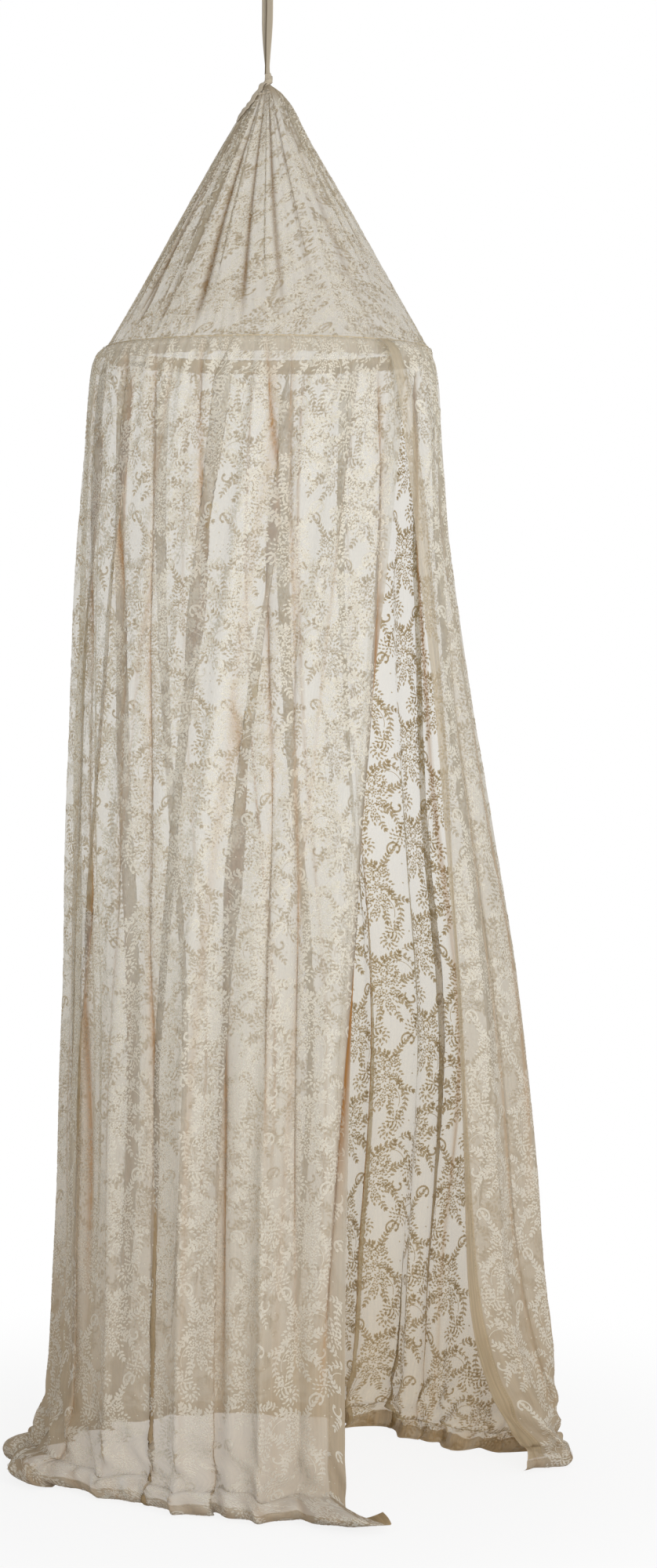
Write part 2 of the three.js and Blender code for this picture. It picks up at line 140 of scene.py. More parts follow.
def grid_faces(tall: int, wide: int, close_rows: bool = False, close_columns: bool = False) -> np.ndarray:
    """Four-cornered faces over a grid of points.

    Args:
        tall: Rows of points.
        wide: Columns of points.
        close_rows: Whether the last row is joined to the first.
        close_columns: Whether the last column is joined to the first.

    Returns:
        The faces' point numbers, one row each.
    """
    corners = grid_corners(tall - (not close_rows), wide - (not close_columns))
    return np.stack([i % tall * wide + j % wide for i, j in corners], axis=-1).reshape(-1, 4)


def new_piece(name: str, points: np.ndarray, face_sets: list[np.ndarray], material: Material,
              uvs: list[np.ndarray] | None = None, values: dict[str, np.ndarray] | None = None,
              smooth: bool = True) -> Piece:
    """Makes a mesh object at the origin.

    Args:
        name: The piece's name.
        points: Its points, one row each.
        face_sets: Arrays of corner indices, each for faces of one number of corners.
        material: Its finish.
        uvs: For each face set, the corners' places on the flat cloth.
        values: The points' values under each attribute name.
        smooth: Whether its faces are shaded smooth.

    Returns:
        The new object.
    """
    corners = np.concatenate([faces.ravel() for faces in face_sets]).astype(np.int32)
    sizes = np.concatenate([np.full(len(faces), faces.shape[1]) for faces in face_sets])
    starts = np.concatenate(([0], np.cumsum(sizes)[:-1])).astype(np.int32)
    mesh = bpy.data.meshes.new(name)
    mesh.vertices.add(len(points))
    mesh.vertices.foreach_set("co", np.ascontiguousarray(points, dtype=np.float32).ravel())
    mesh.loops.add(len(corners))
    mesh.loops.foreach_set("vertex_index", corners)
    mesh.polygons.add(len(sizes))
    mesh.polygons.foreach_set("loop_start", starts)
    mesh.polygons.foreach_set("use_smooth", np.full(len(sizes), smooth))
    mesh.update(calc_edges=True)
    if uvs is not None:
        layer = mesh.uv_layers.new(name=CLOTH_UV)
        places = np.concatenate([uv.reshape(-1, 2) for uv in uvs]).astype(np.float32)
        layer.uv.foreach_set("vector", places.ravel())
    for label, numbers in (values or {}).items():
        attribute = mesh.attributes.new(label, "FLOAT", "POINT")
        attribute.data.foreach_set("value", numbers.astype(np.float32).ravel())
    mesh.materials.append(material)
    piece = bpy.data.objects.new(name, mesh)
    bpy.context.scene.collection.objects.link(piece)
    return piece


def join(pieces: list[Piece], name: str) -> Piece:
    """Joins pieces into one and names it."""
    bpy.ops.object.select_all(action="DESELECT")
    for piece in pieces:
        piece.select_set(True)
    bpy.context.view_layer.objects.active = pieces[0]
    bpy.ops.object.join()
    pieces[0].name = name
    pieces[0].data.name = name
    return pieces[0]


class Nodes:
    """The node tree of a material or a world, built node by node."""

    def __init__(self, owner: Material | bpy.types.World) -> None:
        """Empties the owner's tree.

        Args:
            owner: The material or world.
        """
        owner.use_nodes = True
        self.tree = owner.node_tree
        self.tree.nodes.clear()

    def add(self, kind: str, inputs: dict | None = None, **settings: object) -> bpy.types.Node:
        """Adds a node.

        Args:
            kind: The node's type without its prefix.
            inputs: Input name or number to a value, or to the output that feeds it.
            settings: The node's own properties.

        Returns:
            The node.
        """
        node = self.tree.nodes.new("ShaderNode" + kind)
        for key, value in settings.items():
            setattr(node, key, value)
        for key, value in (inputs or {}).items():
            if isinstance(value, Socket):
                self.tree.links.new(value, node.inputs[key])
            else:
                node.inputs[key].default_value = value
        return node

    def maths(self, operation: str, *values: Socket | float) -> Socket:
        """Output of a Math node with these inputs."""
        return self.add("Math", dict(enumerate(values)), operation=operation).outputs[0]

    def mixed(self, share: Socket, first: Socket | tuple, second: Socket | tuple) -> Socket:
        """Output of a colour Mix node."""
        return self.add("Mix", {0: share, 6: first, 7: second}, data_type="RGBA").outputs[2]

    def ranged(self, value: Socket, low: Socket | float, high: Socket | float) -> Socket:
        """A value from 0 to 1, spread from low to high."""
        return self.add("MapRange", {"Value": value, "To Min": low, "To Max": high}).outputs[0]

    def noise(self, place: Socket, scale: float, detail: float) -> Socket:
        """Cloudy noise from 0 to 1."""
        return self.add("TexNoise", {"Vector": place, "Scale": scale, "Detail": detail}).outputs["Fac"]

    def ribs(self, place: Socket, step: float, direction: str, distortion: float = 0.0) -> Socket:
        """Bands a step apart. The texture has one each pi / 10 at a scale of 1."""
        inputs = {"Vector": place, "Scale": math.pi / 10 / step, "Distortion": distortion}
        return self.add("TexWave", inputs, bands_direction=direction).outputs["Fac"]

    def toned(self, colour: Socket, pattern: Socket, spread: float) -> Socket:
        """A colour made darker and lighter by a pattern."""
        tone = self.maths("MULTIPLY_ADD", pattern, spread * 2, 1 - spread)
        return self.add("VectorMath", {0: colour, 3: tone}, operation="SCALE").outputs[0]

    def bump(self, height: Socket, strength: float, distance: float) -> Socket:
        """A normal that follows a pattern's relief."""
        inputs = {"Height": height, "Strength": strength, "Distance": distance}
        return self.add("Bump", inputs).outputs[0]

    def blend(self, share: Socket | float, first: Socket, second: Socket) -> Socket:
        """Output of a Mix Shader node."""
        return self.add("MixShader", {0: share, 1: first, 2: second}).outputs[0]

    def covering(self, cover: Socket | float, shader: Socket) -> Socket:
        """A shader with gaps, through which the rest of the light passes."""
        return self.blend(cover, self.add("BsdfTransparent").outputs[0], shader)


def new_material(name: str) -> tuple[Material, Nodes]:
    """A material and its empty tree."""
    material = bpy.data.materials.new(name)
    return material, Nodes(material)


@dataclass(frozen=True)
class SheerFinish:
    """Sheer woven cloth: a fine open weave whose back faces carry a shaded copy of its colour as painted
    shade, that looks denser, and partly painted darker, where it is gathered, with painted shade in its
    creases.
    """

    name: str
    # front is the cloth's own colour; back is a darker tan copy of it, painted shade of the canopy's inside.
    front: str = "e2e0d8"
    back: str = "c5ba9c"
    # Colour where the cloth is gathered: partly denser cloth, partly painted shade between and behind its
    # layers.
    dense_and_shaded: str = "c2b091"
    # Colour of painted shade in creases, laps and puckers, laid on by the pleat_shade attribute, which also
    # makes the cloth more opaque there.
    pleat_shade: str = "b98a52"
    opacity: float = 0.35
    back_opacity: float = 0.37
    pleat_opacity: float = 0.9
    dense_per_gather: float = 0.6
    most_dense: float = 0.68
    layers_per_gather: float = 1.8
    through: float = 0.42
    thread_step: float = 0.0009
    gap_spread: float = 0.06
    streak: float = 0.16
    streak_scale: tuple[float, float, float] = (260.0, 9.0, 1.0)

    def material(self) -> Material:
        """Builds the cloth's material."""
        material, nodes = new_material(self.name)
        place = nodes.add("UVMap", uv_map=CLOTH_UV).outputs[0]
        side = nodes.add("NewGeometry").outputs["Backfacing"]
        pleat_shade = nodes.add("Attribute", attribute_name=PLEAT_SHADE_ATTRIBUTE).outputs["Fac"]
        gather = nodes.add("Attribute", attribute_name=GATHER_ATTRIBUTE).outputs["Fac"]
        weave = nodes.maths("MAXIMUM", *(nodes.ribs(place, self.thread_step, way) for way in "XY"))
        stretched = nodes.add("Mapping", {"Vector": place, "Scale": self.streak_scale}).outputs[0]
        gathered = nodes.maths("MULTIPLY", gather, self.dense_per_gather)
        gathered = nodes.maths("MINIMUM", gathered, self.most_dense)
        # Painted light and shade: front and back faces take a lit and a shaded copy of one colour.
        cloth = nodes.mixed(side, linear(self.front), linear(self.back))
        # Gathered cloth moves toward the darker colour: partly denser cloth, partly painted shade.
        cloth = nodes.mixed(gathered, cloth, linear(self.dense_and_shaded))
        # Painted shade in creases, laps and puckers.
        cloth = nodes.mixed(pleat_shade, cloth, linear(self.pleat_shade))
        cloth = nodes.toned(cloth, nodes.noise(stretched, 1.0, 2.0), self.streak)
        bump = nodes.bump(weave, 0.35, 0.0002)
        lit = nodes.add("BsdfDiffuse", {"Color": cloth, "Normal": bump}).outputs[0]
        behind = nodes.add("BsdfTranslucent", {"Color": cloth}).outputs[0]
        plain = nodes.ranged(side, self.opacity, self.back_opacity)
        clear = nodes.maths("SUBTRACT", 1.0, nodes.ranged(pleat_shade, plain, self.pleat_opacity))
        layers = nodes.maths("MULTIPLY_ADD", gather, self.layers_per_gather, 1.0)
        gaps = nodes.ranged(weave, 1 + self.gap_spread, 1 - self.gap_spread)
        clear = nodes.maths("MULTIPLY", nodes.maths("POWER", clear, layers), gaps)
        cover = nodes.maths("SUBTRACT", 1.0, clear)
        shader = nodes.covering(cover, nodes.blend(self.through, lit, behind))
        nodes.add("OutputMaterial", {"Surface": shader})
        return material


@dataclass(frozen=True)
class YarnFinish:
    """The floral yarn: cream and a little satiny outside; on the cloth's inner side a tan that is painted
    shade.
    """

    name: str
    # front is the yarn's own colour; back is a tan copy of it, painted shade of the canopy's inside.
    front: str = "f4f1e6"
    back: str = "ccb68b"
    # Colour of painted shade on flowers that lie in creases and laps.
    pleat_shade: str = "c09d6c"
    pleat_shade_share: float = 0.8
    cover: float = 0.86
    thread_step: float = 0.0007
    mottle: float = 0.12
    sheen: float = 0.3
    through: float = 0.36

    def material(self) -> Material:
        """Builds the yarn's material."""
        material, nodes = new_material(self.name)
        place = nodes.add("UVMap", uv_map=CLOTH_UV).outputs[0]
        side = nodes.add("NewGeometry").outputs["Backfacing"]
        pleat_shade = nodes.add("Attribute", attribute_name=PLEAT_SHADE_ATTRIBUTE).outputs["Fac"]
        # Painted crease shade on the flowers.
        pleat_shade_mix = nodes.maths("MULTIPLY", pleat_shade, self.pleat_shade_share)
        # Painted light and shade: the own colour on front faces, the shaded tan on back faces.
        cloth = nodes.mixed(side, linear(self.front), linear(self.back))
        cloth = nodes.mixed(pleat_shade_mix, cloth, linear(self.pleat_shade))
        cloth = nodes.toned(cloth, nodes.noise(place, 140.0, 2.0), self.mottle)
        bump = nodes.bump(nodes.ribs(place, self.thread_step, "DIAGONAL", 1.5), 0.5, 0.0003)
        lit = nodes.add("BsdfPrincipled", {"Base Color": cloth, "Roughness": 0.62, "Normal": bump,
                                           "Sheen Weight": self.sheen}).outputs[0]
        behind = nodes.add("BsdfTranslucent", {"Color": cloth}).outputs[0]
        shader = nodes.covering(self.cover, nodes.blend(self.through, lit, behind))
        nodes.add("OutputMaterial", {"Surface": shader})
        return material


@dataclass(frozen=True)
class TapeFinish:
    """Woven cotton tape or sewing thread: matt, with slanting ribs."""

    name: str
    colour: str
    shade: str
    rib: float = 0.0012

    def material(self) -> Material:
        """Builds the tape's material."""
        material, nodes = new_material(self.name)
        place = nodes.add("TexCoord").outputs["Object"]
        ribs = nodes.ribs(place, self.rib, "DIAGONAL", 0.6)
        mottled = nodes.maths("MULTIPLY", ribs, nodes.noise(place, 900.0, 3.0))
        cloth = nodes.mixed(mottled, linear(self.shade), linear(self.colour))
        lit = nodes.add("BsdfPrincipled", {"Base Color": cloth, "Roughness": 0.88, "Sheen Weight": 0.25,
                                           "Normal": nodes.bump(mottled, 0.7, 0.0004)}).outputs[0]
        nodes.add("OutputMaterial", {"Surface": lit})
        return material


@dataclass(frozen=True)
class PlasticFinish:
    """Milky off-white plastic with fine scuffs."""

    name: str
    colour: str = "e9e7e2"
    cloud: str = "dcd9d1"
    cover: float = 0.5

    def material(self) -> Material:
        """Builds the plastic's material."""
        material, nodes = new_material(self.name)
        scuffs = nodes.noise(nodes.add("TexCoord").outputs["Object"], 320.0, 4.0)
        cloudy = nodes.mixed(scuffs, linear(self.colour), linear(self.cloud))
        rough = nodes.ranged(scuffs, 0.34, 0.52)
        lit = nodes.add("BsdfPrincipled", {"Base Color": cloudy, "Roughness": rough,
                                           "Normal": nodes.bump(scuffs, 0.15, 0.0002)}).outputs[0]
        nodes.add("OutputMaterial", {"Surface": nodes.covering(self.cover, lit)})
        return material


class Side(Enum):
    """The two front edges of the drape."""

    LEFT = "left"
    RIGHT = "right"


@dataclass(frozen=True)
class Wave:
    """An uneven ripple round the canopy: its crests, and the slower swings that push them about.

    Each swing has its reach, its own number of crests and its start.
    """

    crests: float
    swings: tuple[tuple[float, float, float], ...]
    start: float = 0.0

    def phase(self, angle: np.ndarray, push: Values = 0.0) -> np.ndarray:
        """Phase at angles round the canopy, with one more push."""
        swung = sum(reach * np.sin(crests * angle + start) for reach, crests, start in self.swings)
        return self.crests * angle + swung + self.start + push


@dataclass
class ClothMap:
    """A cloth in place: a grid of points whose columns are evenly spaced along the cloth."""

    points: np.ndarray
    # Each point's painted crease shade, which also makes the cloth more opaque there.
    pleats_and_shade: np.ndarray
    gathers: np.ndarray
    downs: np.ndarray
    widths: np.ndarray

    def __post_init__(self) -> None:
        """Works out the outward direction at each point."""
        across = np.gradient(self.points, axis=1)
        down = np.gradient(self.points, axis=0)
        self.normals = unit(np.cross(across, down))

    @classmethod
    def from_rows(cls, rows: list[tuple[np.ndarray, np.ndarray]], columns: int,
                  downs: np.ndarray | None, widths: np.ndarray) -> "ClothMap":
        """Builds the map from rows of points along the cloth.

        Args:
            rows: For each row, its points and the painted crease shade at each.
            columns: Number of columns in the grid.
            downs: Each row's distance down the cloth, or None to measure it.
            widths: The flat cloth's width at each row.

        Returns:
            The map, with each row's points evenly spaced along its length.
        """
        points, pleats_and_shade, gathers = [], [], []
        for (line, pleat_shade), width in zip(rows, widths):
            along = distances(line)
            wanted = np.linspace(0, along[-1], columns)
            points.append(interpolated(wanted, along, line))
            pleats_and_shade.append(np.interp(wanted, along, pleat_shade))
            gathers.append(np.full(columns, np.clip(width / along[-1] - 1, 0, 3)))
        grid = np.array(points)
        if downs is None:
            steps = np.median(np.linalg.norm(np.diff(grid, axis=0), axis=2), axis=1)
            downs = np.concatenate(([0], np.cumsum(steps)))
        return cls(grid, np.array(pleats_and_shade), np.array(gathers), downs, widths)

    @property
    def length(self) -> float:
        """Length of the cloth from its top row to its foot."""
        return float(self.downs[-1])

    def width_at(self, down: np.ndarray) -> np.ndarray:
        """Width of the flat cloth at distances down it."""
        return np.interp(down, self.downs, self.widths)

    def value_at(self, grid: np.ndarray, share: np.ndarray, down: np.ndarray) -> np.ndarray:
        """Values of one of the cloth's grids at flat places, one row each."""
        rows, columns = grid.shape[:2]
        row = np.clip(np.interp(down, self.downs, np.arange(rows)), 0, rows - 1.001)
        column = np.clip(share * (columns - 1), 0, columns - 1.001)
        r, c = row.astype(int), column.astype(int)
        values = grid.reshape(rows, columns, -1)
        top = lerp(values[r, c], values[r, c + 1], (column - c)[:, None])
        foot = lerp(values[r + 1, c], values[r + 1, c + 1], (column - c)[:, None])
        return lerp(top, foot, (row - r)[:, None])

    def place(self, share: np.ndarray, down: np.ndarray, lift: float) -> np.ndarray:
        """Puts flat places on the hung cloth.

        Args:
            share: Share of the width of each place.
            down: Distance down the cloth of each place.
            lift: How far outside the cloth the places are.

        Returns:
            The points, one row each.
        """
        return self.value_at(self.points, share, down) + self.value_at(self.normals, share, down) * lift

    def cut(self, name: str, columns: slice, rows: slice, material: Material,
            lift: float = 0.0, closed: bool = False) -> Piece:
        """Makes a piece from part of the cloth.

        Args:
            name: The piece's name.
            columns: The columns it takes.
            rows: The rows it takes.
            material: Its finish.
            lift: How far it stands outside the cloth.
            closed: Whether the last column is joined to the first.

        Returns:
            The piece.
        """
        points = self.points[rows, columns] + lift * self.normals[rows, columns]
        down = self.downs[rows]
        width = self.widths[rows]
        middle = np.linspace(-0.5, 0.5, self.points.shape[1])[columns]
        tall, wide = points.shape[:2]
        kept = wide - 1 if closed else wide
        faces = grid_faces(tall, kept, close_columns=closed)
        uvs = np.stack([np.stack((middle[j] * width[i], -down[i]), axis=-1)
                        for i, j in grid_corners(tall - 1, wide - 1)], axis=2).reshape(-1, 4, 2)
        values = {PLEAT_SHADE_ATTRIBUTE: self.pleats_and_shade[rows, columns][:, :kept],
                  GATHER_ATTRIBUTE: self.gathers[rows, columns][:, :kept]}
        return new_piece(name, points[:, :kept].reshape(-1, 3), [faces], material, [uvs], values)


@dataclass(frozen=True)
class LongCrease:
    """A long crisp fold: its turns at the rim and the foot, its strength and the falls it spans."""

    rim_turn: float
    foot_turn: float
    strength: float
    start: float
    end: float
    width: float = 1.7
    depth: float = 0.0095
    pinch: float = 0.011

    def fold(self, at: np.ndarray, fall: float) -> tuple[np.ndarray, np.ndarray, np.ndarray]:
        """How far the crease moves the cloth out and along, and the painted shade along it, at one height."""
        line = lerp(self.rim_turn, self.foot_turn, fall ** 1.3) + 0.5 * math.sin(9 * fall + self.rim_turn)
        off = at - line
        begun = float(smoothstep(fall, self.start - 0.01, self.start + 0.05))
        kept = self.strength * begun * (1 - float(smoothstep(fall, self.end - 0.2, self.end)))
        out = -self.depth * kept * bell(off, 0, self.width)
        slide = -self.pinch * kept * np.clip(off / 1.8, -1, 1) * bell(off, 0, 2.8)
        # The third value is painted shade along the crease, strongest on its line.
        return out, slide, kept * (0.72 * bell(off, 0, 0.8) + 0.40 * bell(off, 0, 2.0))


@dataclass
class Level:
    """One height of the drape with places across it: their shares and their turns."""

    share: np.ndarray
    fall: float
    at: np.ndarray

    def __post_init__(self) -> None:
        """Works out the distance down and the angles, and where folds have begun and are calmed."""
        self.down = self.fall * DRAPE_DROP
        self.angle = FULL_TURN * self.share
        self.from_edge = np.minimum(self.share, 1 - self.share)
        self.begun = float(smoothstep(self.down, 0, 0.07))
        right_front = smoothstep(self.share, 0.80, 0.90)
        self.calm = smoothstep(self.from_edge, 0.014, 0.05) * (1 - 0.6 * right_front)


@dataclass
class DrapeForm:
    """The drape's surface: its outline at each height, its folds and the roll on the floor.

    Pairs of sizes are those at the rim and at the floor.
    """

    flat_width: float = 2.35
    rim_radius: float = 0.252
    seam_roll: float = 0.007
    shoulder: float = 0.011
    foot_radius: float = 0.308
    foot_oval: float = 0.030
    foot_shift: float = 0.010
    left_edge: tuple[float, float] = (9.0, 38.0)
    right_edge: tuple[float, float] = (380.0, 331.6)
    corner_turn: float = 326.0
    corner_reach: float = 0.168
    corner_rise: tuple[float, float] = (0.05, 0.55)
    right_shoulder: float = 0.010
    right_waist: float = 0.009
    overlap: tuple[float, float] = (0.009, 0.016)
    folds: Wave = Wave(17, ((0.6 * math.pi, 2, 1),))
    fold_depths: tuple[float, float] = (0.0006, 0.017)
    small_folds: Wave = Wave(41, ((2, 2, 0),))
    small_fold_share: float = 0.26
    rim_gathers: Wave = Wave(88, ((2.1, 5, 0),))
    rim_gather_depth: float = 0.0030
    upper_gathers: Wave = Wave(44, ((1.7, 3, 2),), 1.3)
    upper_gather_depth: float = 0.0032
    waves: Wave = Wave(27, ((2.4, 2, 0.4),))
    wave_depth: float = 0.0045
    buckle_depth: float = 0.0016
    pleats_and_shade: Wave = Wave(15, ((1.6, 3, 0.7), (0.4, 7, 2)))
    pleat_depth: float = 0.010
    pleat_pinch: float = 0.008
    pleat_sharpness: float = 4.5
    crease_shade_sharpness: float = 100.0
    long_creases: tuple[LongCrease, ...] = (
        LongCrease(21, 49, 1.0, 0.02, 0.95),
        LongCrease(51, 51, 0.6, 0.0, 0.9),
        LongCrease(58.5, 58, 0.9, 0.0, 0.75),
        LongCrease(81, 86, 0.8, 0.0, 0.38),
        LongCrease(98.5, 100, 1.0, 0.0, 0.85),
        LongCrease(113, 110, 0.9, 0.0, 0.6),
        LongCrease(131, 128, 0.7, 0.05, 0.9),
        LongCrease(69, 72, 0.7, 0.3, 0.95),
        LongCrease(338, 330, 0.5, 0.1, 0.8),
    )
    tucks: Wave = Wave(19, ((1.4, 2, 2.4),))
    tuck_slides: tuple[float, float] = (0.064, 0.034)
    tuck_lift: float = 0.0058
    tuck_sharpness: float = 2.6
    roll_reach: float = 0.020
    roll_tall: float = 0.034
    roll_angles: tuple[float, float] = (92.0, -80.0)
    left_bulge_turn: float = 142.0
    tongue_turn: float = 41.0
    foot_flare: float = 0.007
    tongue: float = 0.052
    tongue_tip: float = 0.011
    hem_height: float = 0.036
    cloth_thick: float = 0.0015
    columns: int = 620
    samples: int = 2400
    lowest: float = -FLOOR_DROP + 0.0012

    def outline(self, fall: float) -> tuple[np.ndarray, np.ndarray, np.ndarray, np.ndarray]:
        """The level outline at a share of the way to the floor.

        Args:
            fall: Share of the way from the rim to the floor.

        Returns:
            Distances along it, points, outward directions and turns.
        """
        left = lerp(*self.left_edge, 1 - (1 - fall) ** 2.5)
        right = lerp(*self.right_edge, fall) + 8 * math.sin(math.pi * fall ** 2)
        turns = np.linspace(left, right, 220)
        radius = self.plan_radius(turns, fall)
        angles = np.radians(turns)
        points = np.stack((-radius * np.sin(angles), -radius * np.cos(angles)), axis=1)
        last = len(turns) - 1
        index = np.arange(last + 1)
        along = unit(points[np.minimum(index + 2, last)] - points[np.maximum(index - 2, 0)])
        outward = np.stack((-along[:, 1], along[:, 0]), axis=1)
        return distances(points), points, outward, turns

    def plan_radius(self, turn: np.ndarray, fall: float) -> np.ndarray:
        """Radius of the drape without its folds."""
        down = fall * DRAPE_DROP
        off_seam = float(smoothstep(down, 0, 0.014))
        oval = self.foot_oval * np.cos(np.radians(2 * (turn - 190)))
        foot = self.foot_radius + oval + self.foot_shift * np.cos(np.radians(turn - 170))
        roll = self.seam_roll * (1 - math.exp(-down / 0.008))
        shoulder = self.shoulder * (1 - math.exp(-down / 0.030))
        flare = (foot - self.rim_radius - self.seam_roll - self.shoulder) * fall ** 0.55
        width = np.where(turn > self.corner_turn, lerp(34, 9, fall), lerp(18, 8, fall))
        reach = self.corner_reach * fall * float(smoothstep(fall, *self.corner_rise))
        corner = reach * bell(turn, self.corner_turn, width)
        corner = corner + lerp(*self.overlap, off_seam) * smoothstep(turn, 350, 366)
        drop = self.right_shoulder * off_seam * (1 - float(smoothstep(fall, 0.15, 0.4)))
        waist = bell(fall, 0.85, 0.09) - bell(fall, 0.62, 0.10) - 0.5 * bell(fall, 0.26, 0.08)
        drop = (drop + self.right_waist * waist) * bell(turn, 328, 30)
        return self.rim_radius + roll + shoulder + flare + corner - drop

    def fold(self, level: Level) -> tuple[np.ndarray, np.ndarray, np.ndarray]:
        """The folds at one height.

        Args:
            level: The height and the places across the cloth.

        Returns:
            How far the cloth stands out, how far it slides along, and how much painted crease shade it gets.
        """
        parts = [self._soft_folds(level), self._pleats(level), self._tucks(level)]
        parts += [crease.fold(level.at, level.fall) for crease in self.long_creases]
        out, slide, dark = (sum(values) for values in zip(*parts))
        return out, slide, np.clip(dark, 0, 1)

    def _soft_folds(self, level: Level) -> tuple[np.ndarray, np.ndarray, float]:
        """Round folds that deepen on the way down, with gathers under the rim."""
        angle, down = level.angle, level.down
        depth = lerp(*self.fold_depths, level.fall ** 0.7) * (0.75 + 0.25 * np.sin(3 * angle))
        depth = depth * lerp(0.25, 1.0, smoothstep(level.from_edge, 0, 0.035))
        phase = self.folds.phase(angle, 0.35 * np.sin(FULL_TURN * down / 1.3 + 9 * level.share))
        wave = self.waves.phase(angle, 0.5 * np.sin(down / 0.33 + 13 * level.share))
        wave_depth = self.wave_depth * float(smoothstep(down, 0, 0.4)) * lerp(0.4, 1, level.calm)
        small = self.small_folds.phase(angle, 0.8 * math.sin(down / 0.4))
        rim_depth = self.rim_gather_depth * near_top(down, 0.005, 0.11)
        upper_depth = self.upper_gather_depth * near_top(down, 0.03, 0.35)
        out = -depth * np.cos(phase) + self.small_fold_share * depth * np.cos(small)
        out = out + rim_depth * np.cos(self.rim_gathers.phase(angle))
        out = out + upper_depth * np.cos(self.upper_gathers.phase(angle))
        out = out + wave_depth * np.cos(wave)
        buckle = np.sin(7 * angle + 6 * down) * np.sin(11 * down + 3 * angle)
        return out + self.buckle_depth * level.begun * buckle, -0.3 * depth * np.sin(2 * phase), 0.0

    def _pleats(self, level: Level) -> tuple[np.ndarray, np.ndarray, np.ndarray]:
        """Pinched grooves which come and go round the drape, each with a crisp line of painted crease shade
        down it.
        """
        angle, down = level.angle, level.down
        phase = self.pleats_and_shade.phase(angle, 0.3 * np.sin(down / 0.5 + 11 * level.share))
        swell = 5.3 * angle + 0.9 * down + 1.1 * np.sin(1.4 * down + 8 * level.share)
        strength = level.begun * level.calm * lerp(0.4, 1.0, 0.5 + 0.5 * np.sin(swell))
        strength = strength * lerp(0.45, 1.0, smoothstep(level.at, 120, 160))
        groove = ridge(phase, self.pleat_sharpness)
        pinch = np.sin(phase) * groove * (1 - groove) * 4
        # A crisp line of painted shade down each groove, fainter near the foot.
        crease = ridge(phase, self.crease_shade_sharpness) * (1 - 0.75 * float(smoothstep(level.fall, 0.7, 0.97)))
        return -self.pleat_depth * strength * groove, -self.pleat_pinch * strength * pinch, strength * crease

    def _tucks(self, level: Level) -> tuple[np.ndarray, np.ndarray, np.ndarray]:
        """Laps where the cloth slides over itself, with painted shade where they lap."""
        angle, down = level.angle, level.down
        phase = self.tucks.phase(angle, 0.25 * np.sin(1.9 * down + 4 * level.share))
        held = np.sin(6.3 * angle + 0.8 * down + 0.8 * np.sin(1.2 * down + 5 * level.share) + 0.9)
        held = level.begun * level.calm * smoothstep(held, -0.7, 0.3)
        lap = ridge(phase, self.tuck_sharpness)
        lean = held * np.sin(phase) * lap
        return self.tuck_lift * lean, -lerp(*self.tuck_slides, level.fall) * lean, 0.22 * held * lap ** 3

    def roll_size(self, turn: np.ndarray, share: np.ndarray) -> tuple[np.ndarray, np.ndarray]:
        """Reach and height of the roll on the floor."""
        extra = 0.037 * bell(turn, self.left_bulge_turn, 17) + 0.050 * bell(turn, self.tongue_turn, 12)
        angle = FULL_TURN * share
        uneven = 1 + 0.20 * np.sin(11 * angle + 1) + 0.12 * np.sin(23 * angle + 2 * np.sin(3 * angle))
        thin = 1 - 0.7 * np.exp(-share / 0.014)
        tall = (self.roll_tall + 0.15 * extra) * lerp(1, uneven, 0.6) * thin
        return (self.roll_reach + extra) * uneven, tall

    def row(self, v: float) -> tuple[np.ndarray, np.ndarray]:
        """One row of the drape.

        Args:
            v: 0 at the rim, 1 where the cloth meets its roll and 2 at the hem.

        Returns:
            The row's points, and the painted crease shade at each.
        """
        share = np.linspace(0, 1, self.samples)
        angle = FULL_TURN * share
        foot_along, _, _, foot_turns = self.outline(1.0)
        turn = np.interp(share, foot_along / foot_along[-1], foot_turns)
        reach, tall = self.roll_size(turn, share)
        start, end = (math.radians(a) for a in self.roll_angles)
        roll_top = tall / 2 * (1 + math.sin(start)) + self.cloth_thick
        fall = min(v, 1.0) * (DRAPE_DROP - float(np.median(roll_top))) / DRAPE_DROP
        along, line, outward, turns = self.outline(fall)
        places = along / along[-1]
        out, slide, pleat_shade = self.fold(Level(share, fall, np.interp(share, places, turns)))
        spot = np.clip(share + slide / along[-1], 0, 1)
        spot = np.where(np.minimum(share, 1 - share) < 0.004, share, spot)
        point = interpolated(spot, places, line)
        normal = unit(interpolated(spot, places, outward))
        spread = self.tongue * np.exp(-share / 0.012) * float(smoothstep(v, 0.98, 1.6))
        point = point + spread[:, None] * np.stack((-normal[:, 1], normal[:, 0]), axis=1)
        flare = self.foot_flare + 0.036 * bell(turn, self.left_bulge_turn, 22)
        out = out + flare * math.exp(min(v - 1, 0.0) * DRAPE_DROP / 0.055)
        if v <= 1:
            height = -RIM_DROP - SEAM_STEP - v * (DRAPE_DROP - roll_top - SEAM_STEP)
            out = out + 0.005 * bell(v, 0.985, 0.03) * np.sin(150 * v + 37 * angle)
        else:
            bend = lerp(start, end, v - 1)
            wrinkle = 0.0022 * np.sin(61 * angle + 7 * v) + 0.0018 * np.sin(29 * angle - 9 * v)
            wrinkle = wrinkle * math.sin(math.pi * (v - 1))
            out = out + 0.86 * reach * (math.cos(bend) - math.cos(start)) + wrinkle
            rise = tall / 2 * (1 + math.sin(bend)) + self.cloth_thick + 0.6 * wrinkle
            tip = self.tongue_tip * np.exp(-share / 0.005) * float(smoothstep(v, 1.3, 2.0))
            height = -FLOOR_DROP + rise + tip
            # Painted shade in the crumples of the roll on the floor.
            crumple = 0.13 + 0.11 * np.sin(47 * angle + 5 * v) * np.sin(19 * angle)
            pleat_shade = lerp(pleat_shade, crumple, float(smoothstep(v, 1, 1.3)))
        flat = point + normal * out[:, None]
        return np.column_stack((flat, np.maximum(height, self.lowest))), pleat_shade

